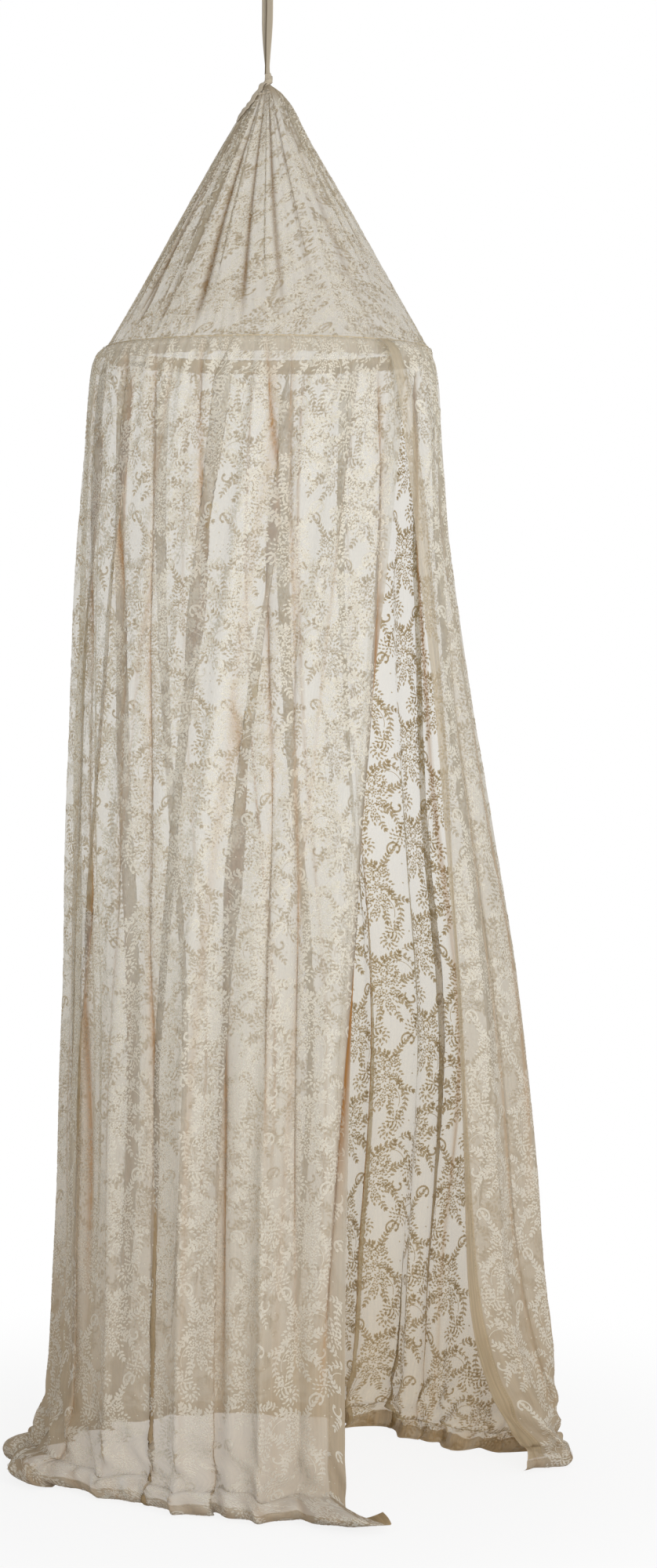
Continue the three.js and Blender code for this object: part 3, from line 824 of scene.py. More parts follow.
    def cloth(self) -> ClothMap:
        """The whole drape as one map, with the places where its cloth bunches and looks denser, and painted
        shade that darkens it toward the foot.
        """
        wall = np.unique(np.concatenate((np.linspace(0, 0.07, 26), np.linspace(0.07, 0.94, 112),
                                         np.linspace(0.94, 1, 14))))
        stops = np.concatenate((wall, np.linspace(1, 2, 25)[1:]))
        rows = [self.row(float(v)) for v in stops]
        cloth = ClothMap.from_rows(rows, self.columns, None, np.full(len(stops), self.flat_width))
        down, share = stops[:, None], np.linspace(0, 1, self.columns)
        # Painted crease shade over the lower half of the drape, fading out on the roll.
        cloth.pleats_and_shade += 0.1 * smoothstep(down, 0.5, 0.97) * (1 - smoothstep(down, 1, 1.2))
        # Denser, darker cloth lower down: partly more gathered cloth, partly painted shade toward the foot.
        cloth.gathers += 0.50 * smoothstep(down, 0.35, 0.8) + 0.4 * smoothstep(down, 0.8, 1.0)
        cloth.gathers += 0.38 * smoothstep(down, 0.02, 0.3) * smoothstep(share, 0.84, 0.92)
        # Darker, denser cloth near the foot at the left edge and by the first seam: partly bunched cloth,
        # partly painted shade.
        bunched = bell(share, 0.0, 0.07) + bell(share, 0.37, 0.10)
        cloth.gathers += 0.85 * smoothstep(down, 0.78, 0.97) * bunched
        return cloth


@dataclass
class ConeForm:
    """The cone's surface, gathered to a point in the knot."""

    top_drop: float = 0.247
    foot_drop: float = 0.6566
    top_radius: float = 0.0046
    foot_radius: float = 0.248
    bulge: float = 0.007
    folds: Wave = Wave(10, ((0.8, 2, 1),))
    fold_depth: float = 0.011
    tucks: Wave = Wave(17, ((1.1, 2, 0.6), (0.5, 3, 0)))
    tuck_angle: float = 0.115
    tuck_lift: float = 0.0052
    shoulder: float = 0.0072
    shoulder_angle: float = 5.24
    creases: Wave = Wave(25, ((2.4, 2, 2), (0.7, 5, 0)))
    crease_depth: float = 0.0085
    creased_angle: float = 2.6
    fine_gathers: Wave = Wave(53, ((3, 3, 0),))
    fine_depth: float = 0.0016
    rim_gathers: Wave = Wave(97, ((2, 4, 0),))
    rim_gather_depth: float = 0.0012
    flat_widths: tuple[float, float] = (0.36, 1.62)
    columns: int = 600
    samples: int = 3600

    @property
    def slant(self) -> float:
        """Length of the cone's side."""
        return math.hypot(self.foot_radius, self.foot_drop - self.top_drop)

    def folded(self, angle: np.ndarray, v: float) -> tuple[np.ndarray, np.ndarray, np.ndarray]:
        """The folds round the cone at a share of the way down.

        Args:
            angle: Angles round the cone.
            v: Share of the way from the knot to the rim.

        Returns:
            Radius, angle and the painted shade of each point's crease or lap.
        """
        smooth = lerp(self.top_radius, self.foot_radius, v) + self.bulge * math.sin(math.pi * math.sqrt(v))
        shoulder = self.shoulder * bell(v, 0.080, 0.085) * float(smoothstep(v, 0, 0.03))
        smooth = smooth + shoulder * ridge(angle - self.shoulder_angle, 1.4)
        small = np.minimum(1.0, smooth / 0.040)
        depth = self.fold_depth * v ** 0.6 * (1 - v) ** 0.7 * (0.75 + 0.25 * np.cos(3 * angle))
        creased = 0.5 + 0.5 * np.cos(angle - self.creased_angle)
        fade = (1 - smoothstep(v, 0.35 + 0.5 * creased, 1.0)) * small * lerp(0.35, 1.0, creased)
        crease = self.creases.phase(angle, 0.4 * np.sin(4 * v))
        swell = 0.5 + 0.5 * np.sin(4 * angle + 1.8 * v + 1.2 * np.sin(3 * angle))
        strength = fade * lerp(0.3, 1.0, swell)
        tuck = self.tucks.phase(angle)
        held = lerp(0.3, 1.0, creased) * (1 - float(smoothstep(v, 0.6, 0.98))) * small
        lap = ridge(tuck, 2.2)
        lean = held * np.sin(tuck) * lap
        near_rim = self.rim_gather_depth * float(smoothstep(v, 0.8, 1.0))
        radius = smooth + depth * np.cos(self.folds.phase(angle)) + self.tuck_lift * lean
        radius = radius - self.crease_depth * strength * ridge(crease, 5)
        radius = radius + self.fine_depth * small * (1 - v) * np.cos(self.fine_gathers.phase(angle))
        radius = radius + near_rim * np.cos(self.rim_gathers.phase(angle))
        # Painted shade in the crease grooves and the tuck laps.
        pleat_shade = np.clip(1.1 * strength * ridge(crease, 9) + 0.25 * held * lap ** 3, 0, 1)
        return radius, angle - self.tuck_angle * lean, pleat_shade

    def points(self, angles: np.ndarray, shares: np.ndarray, stand: Values = 0.0) -> np.ndarray:
        """Points on the folded cone, or outside it.

        Args:
            angles: Angle of each point round the cone.
            shares: Share of the way down of each point.
            stand: How far the points stand off the cone.

        Returns:
            The points, one row each.
        """
        radius = np.array([self.folded(np.array([a]), float(v))[0][0] for a, v in zip(angles, shares)])
        surface = round_axis(radius, angles, -lerp(self.top_drop, self.foot_drop, shares))
        return surface + self.outward(angles) * np.broadcast_to(stand, angles.shape)[:, None]

    @staticmethod
    def outward(angles: np.ndarray) -> np.ndarray:
        """Directions straight off the cone's side at these angles."""
        return unit(round_axis(1.0, angles, 0.6))

    def cloth(self) -> ClothMap:
        """The whole cone as one map, whose seam is on its right side."""
        angles = np.linspace(0, -FULL_TURN, self.samples)
        stops = np.unique(np.concatenate((np.linspace(0, 0.12, 14), np.linspace(0.12, 0.93, 44),
                                          np.linspace(0.93, 1, 8))))
        rows = []
        for v in stops:
            radius, slid, pleat_shade = self.folded(angles, float(v))
            rows.append((round_axis(radius, slid, -lerp(self.top_drop, self.foot_drop, float(v))), pleat_shade))
        return ClothMap.from_rows(rows, self.columns, stops * self.slant, lerp(*self.flat_widths, stops))


@dataclass(frozen=True)
class Spray:
    """A curved frond of leaf pairs: its start, its heading and bend in degrees, its reach and its head."""

    start: tuple[float, float]
    heading: float
    bend: float
    reach: float
    pairs: int
    head: float = 0.0


@dataclass
class LaceTile:
    """One repeat of the lace's flowers, drawn flat with x across the cloth and y up it."""

    width: float = 0.104
    height: float = 0.155
    leaf_length: float = 0.0094
    leaf_width: float = 0.0047
    stem_width: float = 0.0013
    inner_stem_off: float = 0.0098
    scroll_width: float = 0.0033
    dot_radius: float = 0.0013
    dot_spacing: float = 0.031
    dot_clearance: float = 0.0085
    bouquet: tuple[float, float] = (0.052, 0.052)
    bouquet_spread: tuple[float, float] = (0.026, 0.045)
    bouquet_count: int = 94
    sprays: tuple[Spray, ...] = (
        Spray((0.046, 0.080), 68, -155, 0.092, 12, 0.0145),
        Spray((0.036, 0.050), 205, 105, 0.070, 9, 0.0130),
        Spray((0.040, 0.086), 108, 26, 0.042, 7),
        Spray((0.068, 0.034), -22, -52, 0.040, 6),
        Spray((0.076, 0.060), 10, 44, 0.030, 5),
    )
    sprigs: tuple[tuple[float, float, float], ...] = (
        (0.074, 0.088, 60), (0.040, 0.018, 252), (0.064, 0.012, 285), (0.022, 0.040, 175), (0.086, 0.112, 15))
    seed: int = 7
    shapes: list[np.ndarray] = field(default_factory=list)

    def draw(self) -> "LaceTile":
        """Draws the repeat and returns the tile."""
        self.random = np.random.default_rng(self.seed)
        self._bouquet()
        for spray in self.sprays:
            self._spray(spray)
        self._scroll((0.018, 0.118), 0.0125, -40, 265)
        self._scroll((0.092, 0.034), 0.0100, 140, 250)
        for x, y, heading in self.sprigs:
            self._sprig((x, y), heading)
        self._rosette((0.066, 0.124), 0.0105)
        self._dots()
        return self

    def _leaf(self, x: float, y: float, angle: float, scale: float = 1.0) -> None:
        """A pointed leaf from its stalk end."""
        along = np.array((0.0, 0.30, 0.68, 1.0, 0.68, 0.30)) * self.leaf_length * scale
        across = np.array((0.0, -0.88, -0.78, 0.0, 0.78, 0.88)) * self.leaf_width * scale / 2
        c, s = math.cos(angle), math.sin(angle)
        self.shapes.append(np.stack((x + along * c - across * s, y + along * s + across * c), axis=1))

    def _ring(self, centre: np.ndarray, radius: float, count: int, first: float, lean: float,
              scale: float) -> None:
        """Leaves round a centre, which point outward or lean from that."""
        for i in range(count):
            turn = (i + first) * FULL_TURN / count
            x, y = np.array(centre) + radius * np.array((math.cos(turn), math.sin(turn)))
            self._leaf(x, y, turn + lean, scale)

    def _strip(self, points: np.ndarray, widths: np.ndarray) -> None:
        """A stem along points."""
        along = unit(np.gradient(points, axis=0))
        side = np.stack((-along[:, 1], along[:, 0]), axis=1) * widths[:, None] / 2
        left, right = points + side, points - side
        for i in range(len(points) - 1):
            self.shapes.append(np.stack((left[i], right[i], right[i + 1], left[i + 1])))

    def _disc(self, x: float, y: float, radius: float) -> None:
        """A dot."""
        turns = np.arange(6) * FULL_TURN / 6
        self.shapes.append(np.stack((x + radius * np.cos(turns), y + radius * np.sin(turns)), axis=1))

    def _arc(self, start: tuple[float, float], heading: float, bend: float, reach: float,
             count: int) -> tuple[np.ndarray, np.ndarray]:
        """Points and directions along an arc that bends evenly."""
        steps = np.linspace(0, 1, count)
        angles = np.radians(heading + bend * (steps[:-1] + steps[1:]) / 2)
        moves = np.stack((np.cos(angles), np.sin(angles)), axis=1) * reach / (count - 1)
        points = np.vstack((np.zeros(2), np.cumsum(moves, axis=0))) + np.array(start)
        return points, np.radians(heading + bend * steps)

    def _spray(self, spray: Spray) -> None:
        """A frond, with an inner stem and a head of petals at its end if it has one."""
        pairs = spray.pairs
        points, angles = self._arc(spray.start, spray.heading, spray.bend, spray.reach, 2 * pairs + 1)
        self._strip(points[::2], np.linspace(1.3, 0.8, pairs + 1) * self.stem_width)
        for i in range(pairs):
            x, y = points[2 * i + 1]
            spread = math.radians(52 - 14 * i / pairs)
            for side in (1, -1):
                turned = side * spread + self.random.uniform(-0.3, 0.3)
                size = (1.12 - 0.35 * i / pairs) * self.random.uniform(0.7, 1.12)
                self._leaf(x, y, angles[2 * i + 1] + turned, size)
        self._leaf(*points[-1], angles[-1], 0.9)
        if spray.head:
            normal = np.stack((-np.sin(angles[::2]), np.cos(angles[::2])), axis=1)
            inner = points[::2] + normal * (np.sign(spray.bend) * self.inner_stem_off)
            self._strip(inner[1:pairs - 1], np.full(pairs - 2, self.stem_width * 0.8))
            ahead = np.array((math.cos(angles[-1]), math.sin(angles[-1])))
            centre = points[-1] + 0.5 * spray.head * ahead
            for ring, count in ((0.10, 5), (0.46, 9), (0.86, 14)):
                self._ring(centre, ring * spray.head, count, 0.5 * ring, 0.4, 0.66)

    def _rosette(self, centre: tuple[float, float], radius: float) -> None:
        """A flower in a wreath of small leaves."""
        self._ring(centre, 0.3 * radius, 8, 0.0, 0.0, 0.95)
        self._ring(centre, 1.1 * radius, 11, 0.5, 0.9, 0.7)

    def _bouquet(self) -> None:
        """A dense bed of leaves and florets of five petals."""
        golden = math.pi * (3 - math.sqrt(5))
        for i in range(self.bouquet_count):
            share = math.sqrt((i + 0.5) / self.bouquet_count)
            x = self.bouquet[0] + self.bouquet_spread[0] * share * math.cos(i * golden)
            y = self.bouquet[1] + self.bouquet_spread[1] * share * math.sin(i * golden)
            if i % 3 == 0:
                first = self.random.uniform(0, FULL_TURN)
                self._ring((x, y), 0.0008, 5, first * 5 / FULL_TURN, 0.0, 0.546)
            else:
                turn = i * golden + self.random.uniform(-0.6, 0.6)
                self._leaf(x, y, turn, self.random.uniform(0.62, 0.95))

    def _sprig(self, start: tuple[float, float], heading: float) -> None:
        """A short stalk with seven leaves."""
        points, angles = self._arc(start, heading, 22, 0.0165, 4)
        self._strip(points, np.linspace(1.0, 0.7, 4) * self.stem_width)
        for i, spread in ((1, 58), (2, 48), (3, 34)):
            for side in (1, -1):
                self._leaf(*points[i], angles[i] + side * math.radians(spread), 0.82)
        self._leaf(*points[3], angles[3], 0.9)

    def _scroll(self, centre: tuple[float, float], radius: float, start: float, sweep: float) -> None:
        """A C-shaped scroll with a bulb at its inner end."""
        steps = np.linspace(0, 1, 17)
        turns = np.radians(start + sweep * steps)
        radii = radius * (1 - 0.55 * steps ** 2)
        points = np.stack((centre[0] + radii * np.cos(turns), centre[1] + radii * np.sin(turns)), axis=1)
        self._strip(points, self.scroll_width * (0.55 + 0.45 * np.sin(np.pi * (0.15 + 0.7 * steps))))
        self._disc(*points[-1], self.scroll_width * 0.85)

    def _dots(self) -> None:
        """Dots on the bare ground, a spacing apart."""
        centres = np.array([shape.mean(axis=0) for shape in self.shapes])
        around = np.vstack([centres + self.shift(i, j) for i in (-1, 0, 1) for j in (-2, -1, 0, 1, 2)])
        step = self.dot_spacing
        for i in range(int(self.width / step) + 1):
            for j in range(int(self.height / step) + 1):
                spot = np.array(((i + 0.25) * step, (j + 0.5 * (i % 2) + 0.1) * step))
                if spot[0] < self.width and spot[1] < self.height:
                    if np.linalg.norm(around - spot, axis=1).min() > self.dot_clearance:
                        self._disc(*spot, self.dot_radius)

    def shift(self, i: int, j: int) -> np.ndarray:
        """Where the repeat of column i and row j starts. Odd columns drop by half a repeat."""
        return np.array((i * self.width, (j + (0.5 if i % 2 else 0.0)) * self.height))

    def stamp(self, cloth: ClothMap, name: str, shares: tuple[float, float], downs: tuple[float, float],
              margins: tuple[float, float], material: Material, lift: float = 0.0005) -> Piece:
        """Repeats the flowers over part of a cloth, mirrored in every other row.

        Args:
            cloth: The cloth in place.
            name: The new piece's name.
            shares: The part of the width whose flowers the piece takes.
            downs: The first and last place down the cloth.
            margins: Bare widths at the cloth's first and last edge.
            material: The yarn's finish.
            lift: How far the yarn stands outside the cloth.

        Returns:
            The piece.
        """
        half = math.ceil(float(cloth.widths.max()) / 2 / self.width)
        columns = range(-half - 1, half + 1)
        rows = range(-math.ceil(cloth.length / self.height) - 2, 2)
        lattices = [np.array([self.shift(i, j) for i in columns for j in rows if j % 2 == odd])
                    for odd in (0, 1)]
        points, pleats_and_shade, faces, uvs, count = [], [], [], [], 0
        for size in sorted({len(shape) for shape in self.shapes}):
            group = np.array([shape for shape in self.shapes if len(shape) == size])
            mirrored = (group * (-1, 1) + (self.width, 0))[:, ::-1]
            flat = np.concatenate([(drawn[None] + shifts[:, None, None]).reshape(-1, size, 2)
                                   for drawn, shifts in zip((group, mirrored), lattices)])
            across, down = -flat[..., 0], -flat[..., 1]
            width = cloth.width_at(down)
            share = 0.5 + across / width
            middle = share.mean(axis=1)
            inside = (middle >= shares[0]) & (middle < shares[1])
            inside &= (down.min(axis=1) > downs[0]) & (down.max(axis=1) < downs[1])
            inside &= (share * width).min(axis=1) > margins[0]
            inside &= ((1 - share) * width).min(axis=1) > margins[1]
            share, down, across = share[inside], down[inside], across[inside]
            points.append(cloth.place(share.ravel(), down.ravel(), lift))
            # Each flower takes the painted crease shade of the cloth beneath it.
            pleats_and_shade.append(cloth.value_at(cloth.pleats_and_shade, share.ravel(), down.ravel()))
            faces.append(np.arange(share.size).reshape(-1, size) + count)
            uvs.append(np.stack((across, -down), axis=-1))
            count += share.size
        return new_piece(name, np.vstack(points), faces, material, uvs,
                         {PLEAT_SHADE_ATTRIBUTE: np.vstack(pleats_and_shade)}, smooth=False)


@dataclass
class Stitching:
    """Running stitches along a line on a cloth."""

    stitch: float = 0.0030
    gap: float = 0.0017
    thick: float = 0.0007

    def sew(self, cloth: ClothMap, name: str, lines: list[tuple[np.ndarray, np.ndarray]],
            material: Material, lift: float) -> Piece:
        """Sews lines of stitches as one piece.

        Args:
            cloth: The cloth in place.
            name: The piece's name.
            lines: For each line, the shares and the places down the cloth that it passes.
            material: The thread's finish.
            lift: How far the thread stands outside the cloth.

        Returns:
            The piece.
        """
        points, faces = [], []
        for share, down in lines:
            flat = np.column_stack((share, down))
            along = distances(flat * np.column_stack((cloth.width_at(down), np.ones(len(down)))))
            starts = np.arange(self.gap, along[-1] - self.stitch, self.stitch + self.gap)
            ends = [cloth.place(*interpolated(starts + part * self.stitch, along, flat).T, height)
                    for part, height in ((0.0, 0.0), (0.5, lift), (1.0, 0.0))]
            run = unit(ends[2] - ends[0])
            rise = unit(ends[1] - (ends[0] + ends[2]) / 2 + 1e-6)
            side = unit(np.cross(run, rise)) * self.thick / 2
            rise = rise * self.thick / 2
            ring = [ends[1] + side, ends[1] + rise, ends[1] - side, ends[1] - rise]
            knots = np.stack((ends[0], *ring, ends[2]), axis=1)
            first = sum(len(group) for group in points) + np.arange(len(starts)) * 6
            for corner, after in ((1, 2), (2, 3), (3, 4), (4, 1)):
                faces.append(np.stack((first, first + corner, first + after), axis=1))
                faces.append(np.stack((first + 5, first + after, first + corner), axis=1))
            points.append(knots.reshape(-1, 3))
        return new_piece(name, np.vstack(points), [np.vstack(faces)], material)


def ribbon(name: str, line: np.ndarray, across: np.ndarray, widths: np.ndarray, thick: float,
           material: Material) -> Piece:
    """A flat band with rounded edges along a line.

    Args:
        name: The piece's name.
        line: Points along its middle.
        across: Direction across it at each point.
        widths: Its width at each point.
        thick: Its thickness.
        material: Its finish.

    Returns:
        The piece.
    """
    along = unit(np.gradient(line, axis=0))
    side = unit(across - along * np.sum(across * along, axis=1, keepdims=True))
    normal = np.cross(along, side)
    turns = np.linspace(0, FULL_TURN, 12, endpoint=False)
    wide, rise = (np.sign(wave) * np.abs(wave) ** 0.6 for wave in (np.cos(turns), np.sin(turns)))
    ring = side[:, None] * (widths[:, None] / 2 * wide)[..., None]
    ring = ring + normal[:, None] * (thick / 2 * rise)[:, None]
    count, corners = len(line), len(turns)
    walls = grid_faces(count, corners, close_columns=True)
    caps = np.stack((np.arange(corners)[::-1], (count - 1) * corners + np.arange(corners)))
    return new_piece(name, (line[:, None] + ring).reshape(-1, 3), [walls, caps], material)


@dataclass
class HangingTape:
    """The folded tape: its loop over the hook, the knot round the cone's neck and the free end."""

    width: float = 0.0148
    width_at_knot: float = 0.0080
    thick: float = 0.0018
    top: float = 0.001
    half_gap: float = 0.006
    half_gap_at_knot: float = 0.0014
    bend_share: float = 0.12
    slit_shadow_width: float = 0.0022
    knot_top: float = 0.228
    knot_across: tuple[float, float, float] = (0.5, -0.866, 0.0)
    knot_aside: float = 0.0012
    wraps: tuple[tuple[float, float], ...] = ((0.0062, 0.0034), (0.0112, 0.0050), (0.0168, 0.0054))
    wrap_width: float = 0.0052
    wrap_thick: float = 0.0026
    wrap_slant: float = 0.0034
    tail_length: float = 0.066
    tail_angle: float = 168.0

    def loop(self, material: Material, shade: Material) -> Piece:
        """The loop, whose legs run down into the knot, with a dark strip down each leg's outer face as a
        painted shadow of the slit between the legs.
        """
        stops = np.linspace(-1, 1, 181)
        sign, from_top = np.sign(stops + 1e-9), np.abs(stops)
        in_bend = from_top < self.bend_share
        leg = np.clip((from_top - self.bend_share) / (1 - self.bend_share), 0, 1)
        angle = np.clip(from_top / self.bend_share, 0, 1) * math.pi / 2
        gap = lerp(self.half_gap, self.half_gap_at_knot, smoothstep(leg, 0, 0.45))
        bent = self.top + self.half_gap * (np.cos(angle) - 1)
        straight = lerp(self.top - self.half_gap, -self.knot_top - 0.003, leg)
        x = np.where(in_bend, self.half_gap * np.sin(angle), gap) * sign
        sway = 0.0036 * (sign + 0.15 * np.sin(9 * leg)) * leg * (1 - leg) * 4
        line = np.column_stack((x, sway, np.where(in_bend, bent, straight)))
        curl = 0.10 * np.sin(5.5 * leg + sign) * leg
        across = np.column_stack((np.sin(curl), np.cos(curl), np.zeros(len(stops))))
        widths = lerp(self.width, self.width_at_knot, smoothstep(leg, 0.62, 1))
        band = ribbon("tape_band", line, across, widths, self.thick, material)
        outward = unit(np.cross(np.gradient(line, axis=0), across))
        outward = outward * np.sign(outward[:, :1] * sign[:, None] + 1e-9)
        # A dark strip down each leg: painted shadow of the slit between the legs.
        edge = line + unit(across) * (0.30 * widths)[:, None] + outward * (self.thick / 2)
        fold = ribbon("slit_shadow_strip", edge, across, np.full(len(stops), self.slit_shadow_width), 0.0005, shade)
        return join([band, fold], "tape_loop")

    def knot(self, material: Material) -> Piece:
        """The wraps of the knot, with one pass slanting over the others."""
        straight_down = np.array((0.0, 0.0, -1.0))
        across = np.array(self.knot_across)
        aside = across * self.knot_aside
        pieces = []
        for i, (drop, radius) in enumerate(self.wraps):
            turns = np.linspace(0, FULL_TURN, 72) + i
            slant = self.wrap_slant * np.cos(turns - math.radians(300))
            ring = round_axis(radius, turns, -self.knot_top - drop + slant)
            down = straight_down + 0.3 * unit(ring * (1, 1, 0))
            pieces.append(ribbon("knot_wraps", ring + aside, down, np.full(72, self.wrap_width),
                                 self.wrap_thick, material))
        core = np.column_stack((np.zeros((20, 2)), -self.knot_top - np.linspace(0.002, 0.0235, 20)))
        pieces.append(ribbon("knot_core", core, np.tile(across, (20, 1)),
                             np.linspace(0.0072, 0.0096, 20), 0.0078, material))
        share = np.linspace(0, 1, 50)
        out = lerp(0.0052, 0.0066, share) + 0.0010 * np.sin(math.pi * share)
        turns = np.radians(lerp(330, self.tail_angle, share))
        line = round_axis(out, turns, -self.knot_top - lerp(0.0066, 0.0188, share))
        line = line + aside * (1 - share[:, None])
        pieces.append(ribbon("knot_pass", line, np.tile(straight_down, (50, 1)),
                             lerp(0.0056, 0.0082, share), self.wrap_thick, material))
        return join(pieces, "tape_knot")

    def tail(self, cone: ConeForm, material: Material, shade: Material) -> Piece:
        """The free end, which runs down the cone's left side with a painted shadow strip along its inner
        edge, and a flat pass of tape under the knot.
        """
        stops = np.linspace(0, 1, 40)
        angles = np.radians(self.tail_angle - 26 * stops)
        shares = 0.012 + stops * self.tail_length / cone.slant
        line = cone.points(angles, shares, 0.0044 - 0.0016 * stops)
        outward = round_axis(1.0, angles, 0.6)
        share = np.linspace(0, 1, 12)[:-1, None]
        start = np.array((-0.0048, 0.0006, -self.knot_top - 0.0172))
        line = np.vstack((lerp(start, line[0], share) + (0, 0, 0.0016) * np.sin(np.pi * share), line))
        outward = np.vstack((np.tile(outward[0], (11, 1)), outward))
        across = unit(np.cross(np.gradient(line, axis=0), outward)) + 0.2 * outward
        widths = np.linspace(0.0082, 0.0106, 51) * (1 - 0.75 * np.linspace(0, 1, 51) ** 9)
        free_end = ribbon("tape_free_end", line, across, widths, self.thick, material)
        # A dark strip along the free end's inner edge: painted shadow under that edge.
        inner = line - unit(across) * (0.5 * widths)[:, None] - 0.0004 * outward
        fold = ribbon("slit_shadow_strip", inner, across, np.full(51, 0.0020), 0.0012, shade)
        turns = np.radians(np.linspace(140, 216, 48))
        drops = 0.034 + 0.016 * np.linspace(1, 0, 48) ** 1.5
        line = cone.points(turns, drops, 0.0016)
        across = np.cross(np.gradient(line, axis=0), cone.outward(turns))
        binding = ribbon("tape_binding", line, across, np.full(48, 0.0085), 0.0014, material)
        return join([free_end, fold, binding], "tape_tail")


@dataclass
class HoopCasing:
    """The sewn channel round the hoop, open at the back where the tubes go in."""

    radius: float = 0.246
    drop: float = RIM_DROP + 0.0114
    half_tall: float = 0.011
    half_wide: float = 0.007
    slit: float = 15.0
    flat_width: float = 0.056
    row_step: float = 0.0028
    puckers: Wave = Wave(74, ((2, 3, 0),))

    @property
    def around(self) -> float:
        """Length of the channel round the hoop."""
        return FULL_TURN * self.radius * (1 - self.slit / 360)

    def build(self, material: Material) -> Piece:
        """The puckered channel as a strip folded round the hoop, in an outer and an inner half."""
        angles = np.radians(np.linspace(90 + self.slit / 2, 450 - self.slit / 2, 900))
        pucker = np.sin(self.puckers.phase(angles))
        points, faces, uvs = [], [], []
        for first, last in ((104, 270), (436, 270)):
            turns = np.radians(np.linspace(first, last, 11))
            for turn in turns:
                flank = (1 - abs(math.sin(turn))) * math.copysign(1, math.cos(turn))
                radius = self.radius + self.half_wide * math.cos(turn) + 0.0008 * pucker * flank
                height = -self.drop + (self.half_tall + 0.0005 * pucker) * math.sin(turn)
                points.append(round_axis(radius, angles, height))
            tall, wide = len(turns), len(angles)
            faces.append(grid_faces(tall, wide) + tall * wide * len(faces))
            uvs.append(np.stack([np.stack((angles[j] * self.radius, i * self.row_step), axis=-1)
                                 for i, j in grid_corners(tall - 1, wide - 1)], axis=2).reshape(-1, 4, 2))
        # Painted shade in the hollows of the puckers.
        pleats_and_shade = np.tile(0.2 * np.clip(-pucker, 0, 1), len(points))
        return new_piece("casing_band", np.vstack(points), [np.vstack(faces)], material,
                         [np.vstack(uvs)], {PLEAT_SHADE_ATTRIBUTE: pleats_and_shade})


@dataclass
class RimSeam:
    """The gathered seam that joins cone, drape and casing."""

    radius: float = 0.2505
    drop: float = RIM_DROP - 0.0002
    half_tall: float = 0.0010
    half_wide: float = 0.0011
    gathers: Wave = Wave(150, ((3, 5, 0),))
    swell: float = 0.28

    def build(self, material: Material) -> Piece:
        """The seam as a thin gathered ring."""
        angles = np.linspace(0, FULL_TURN, 1201)[:-1]
        swell = 1 + self.swell * np.sin(self.gathers.phase(angles))
        rows = []
        for turn in np.linspace(0, FULL_TURN, 9)[:-1]:
            radius = self.radius + self.half_wide * swell * math.cos(turn)
            rows.append(round_axis(radius, angles, -self.drop + self.half_tall * swell * math.sin(turn)))
        faces = grid_faces(len(rows), len(angles), close_rows=True, close_columns=True)
        return new_piece("rim_seam", np.vstack(rows), [faces], material)


@dataclass(frozen=True)
class FlapFold:
    """Where one front edge of the drape folds back like a tent's flap."""

    side: Side
    towards_edge: tuple[float, float, float]
    bend_width: float = 0.055

    def bend(self, piece: Piece) -> None:
        """Bakes a piece's placement into its mesh; the piece is not bent."""
        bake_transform(piece)


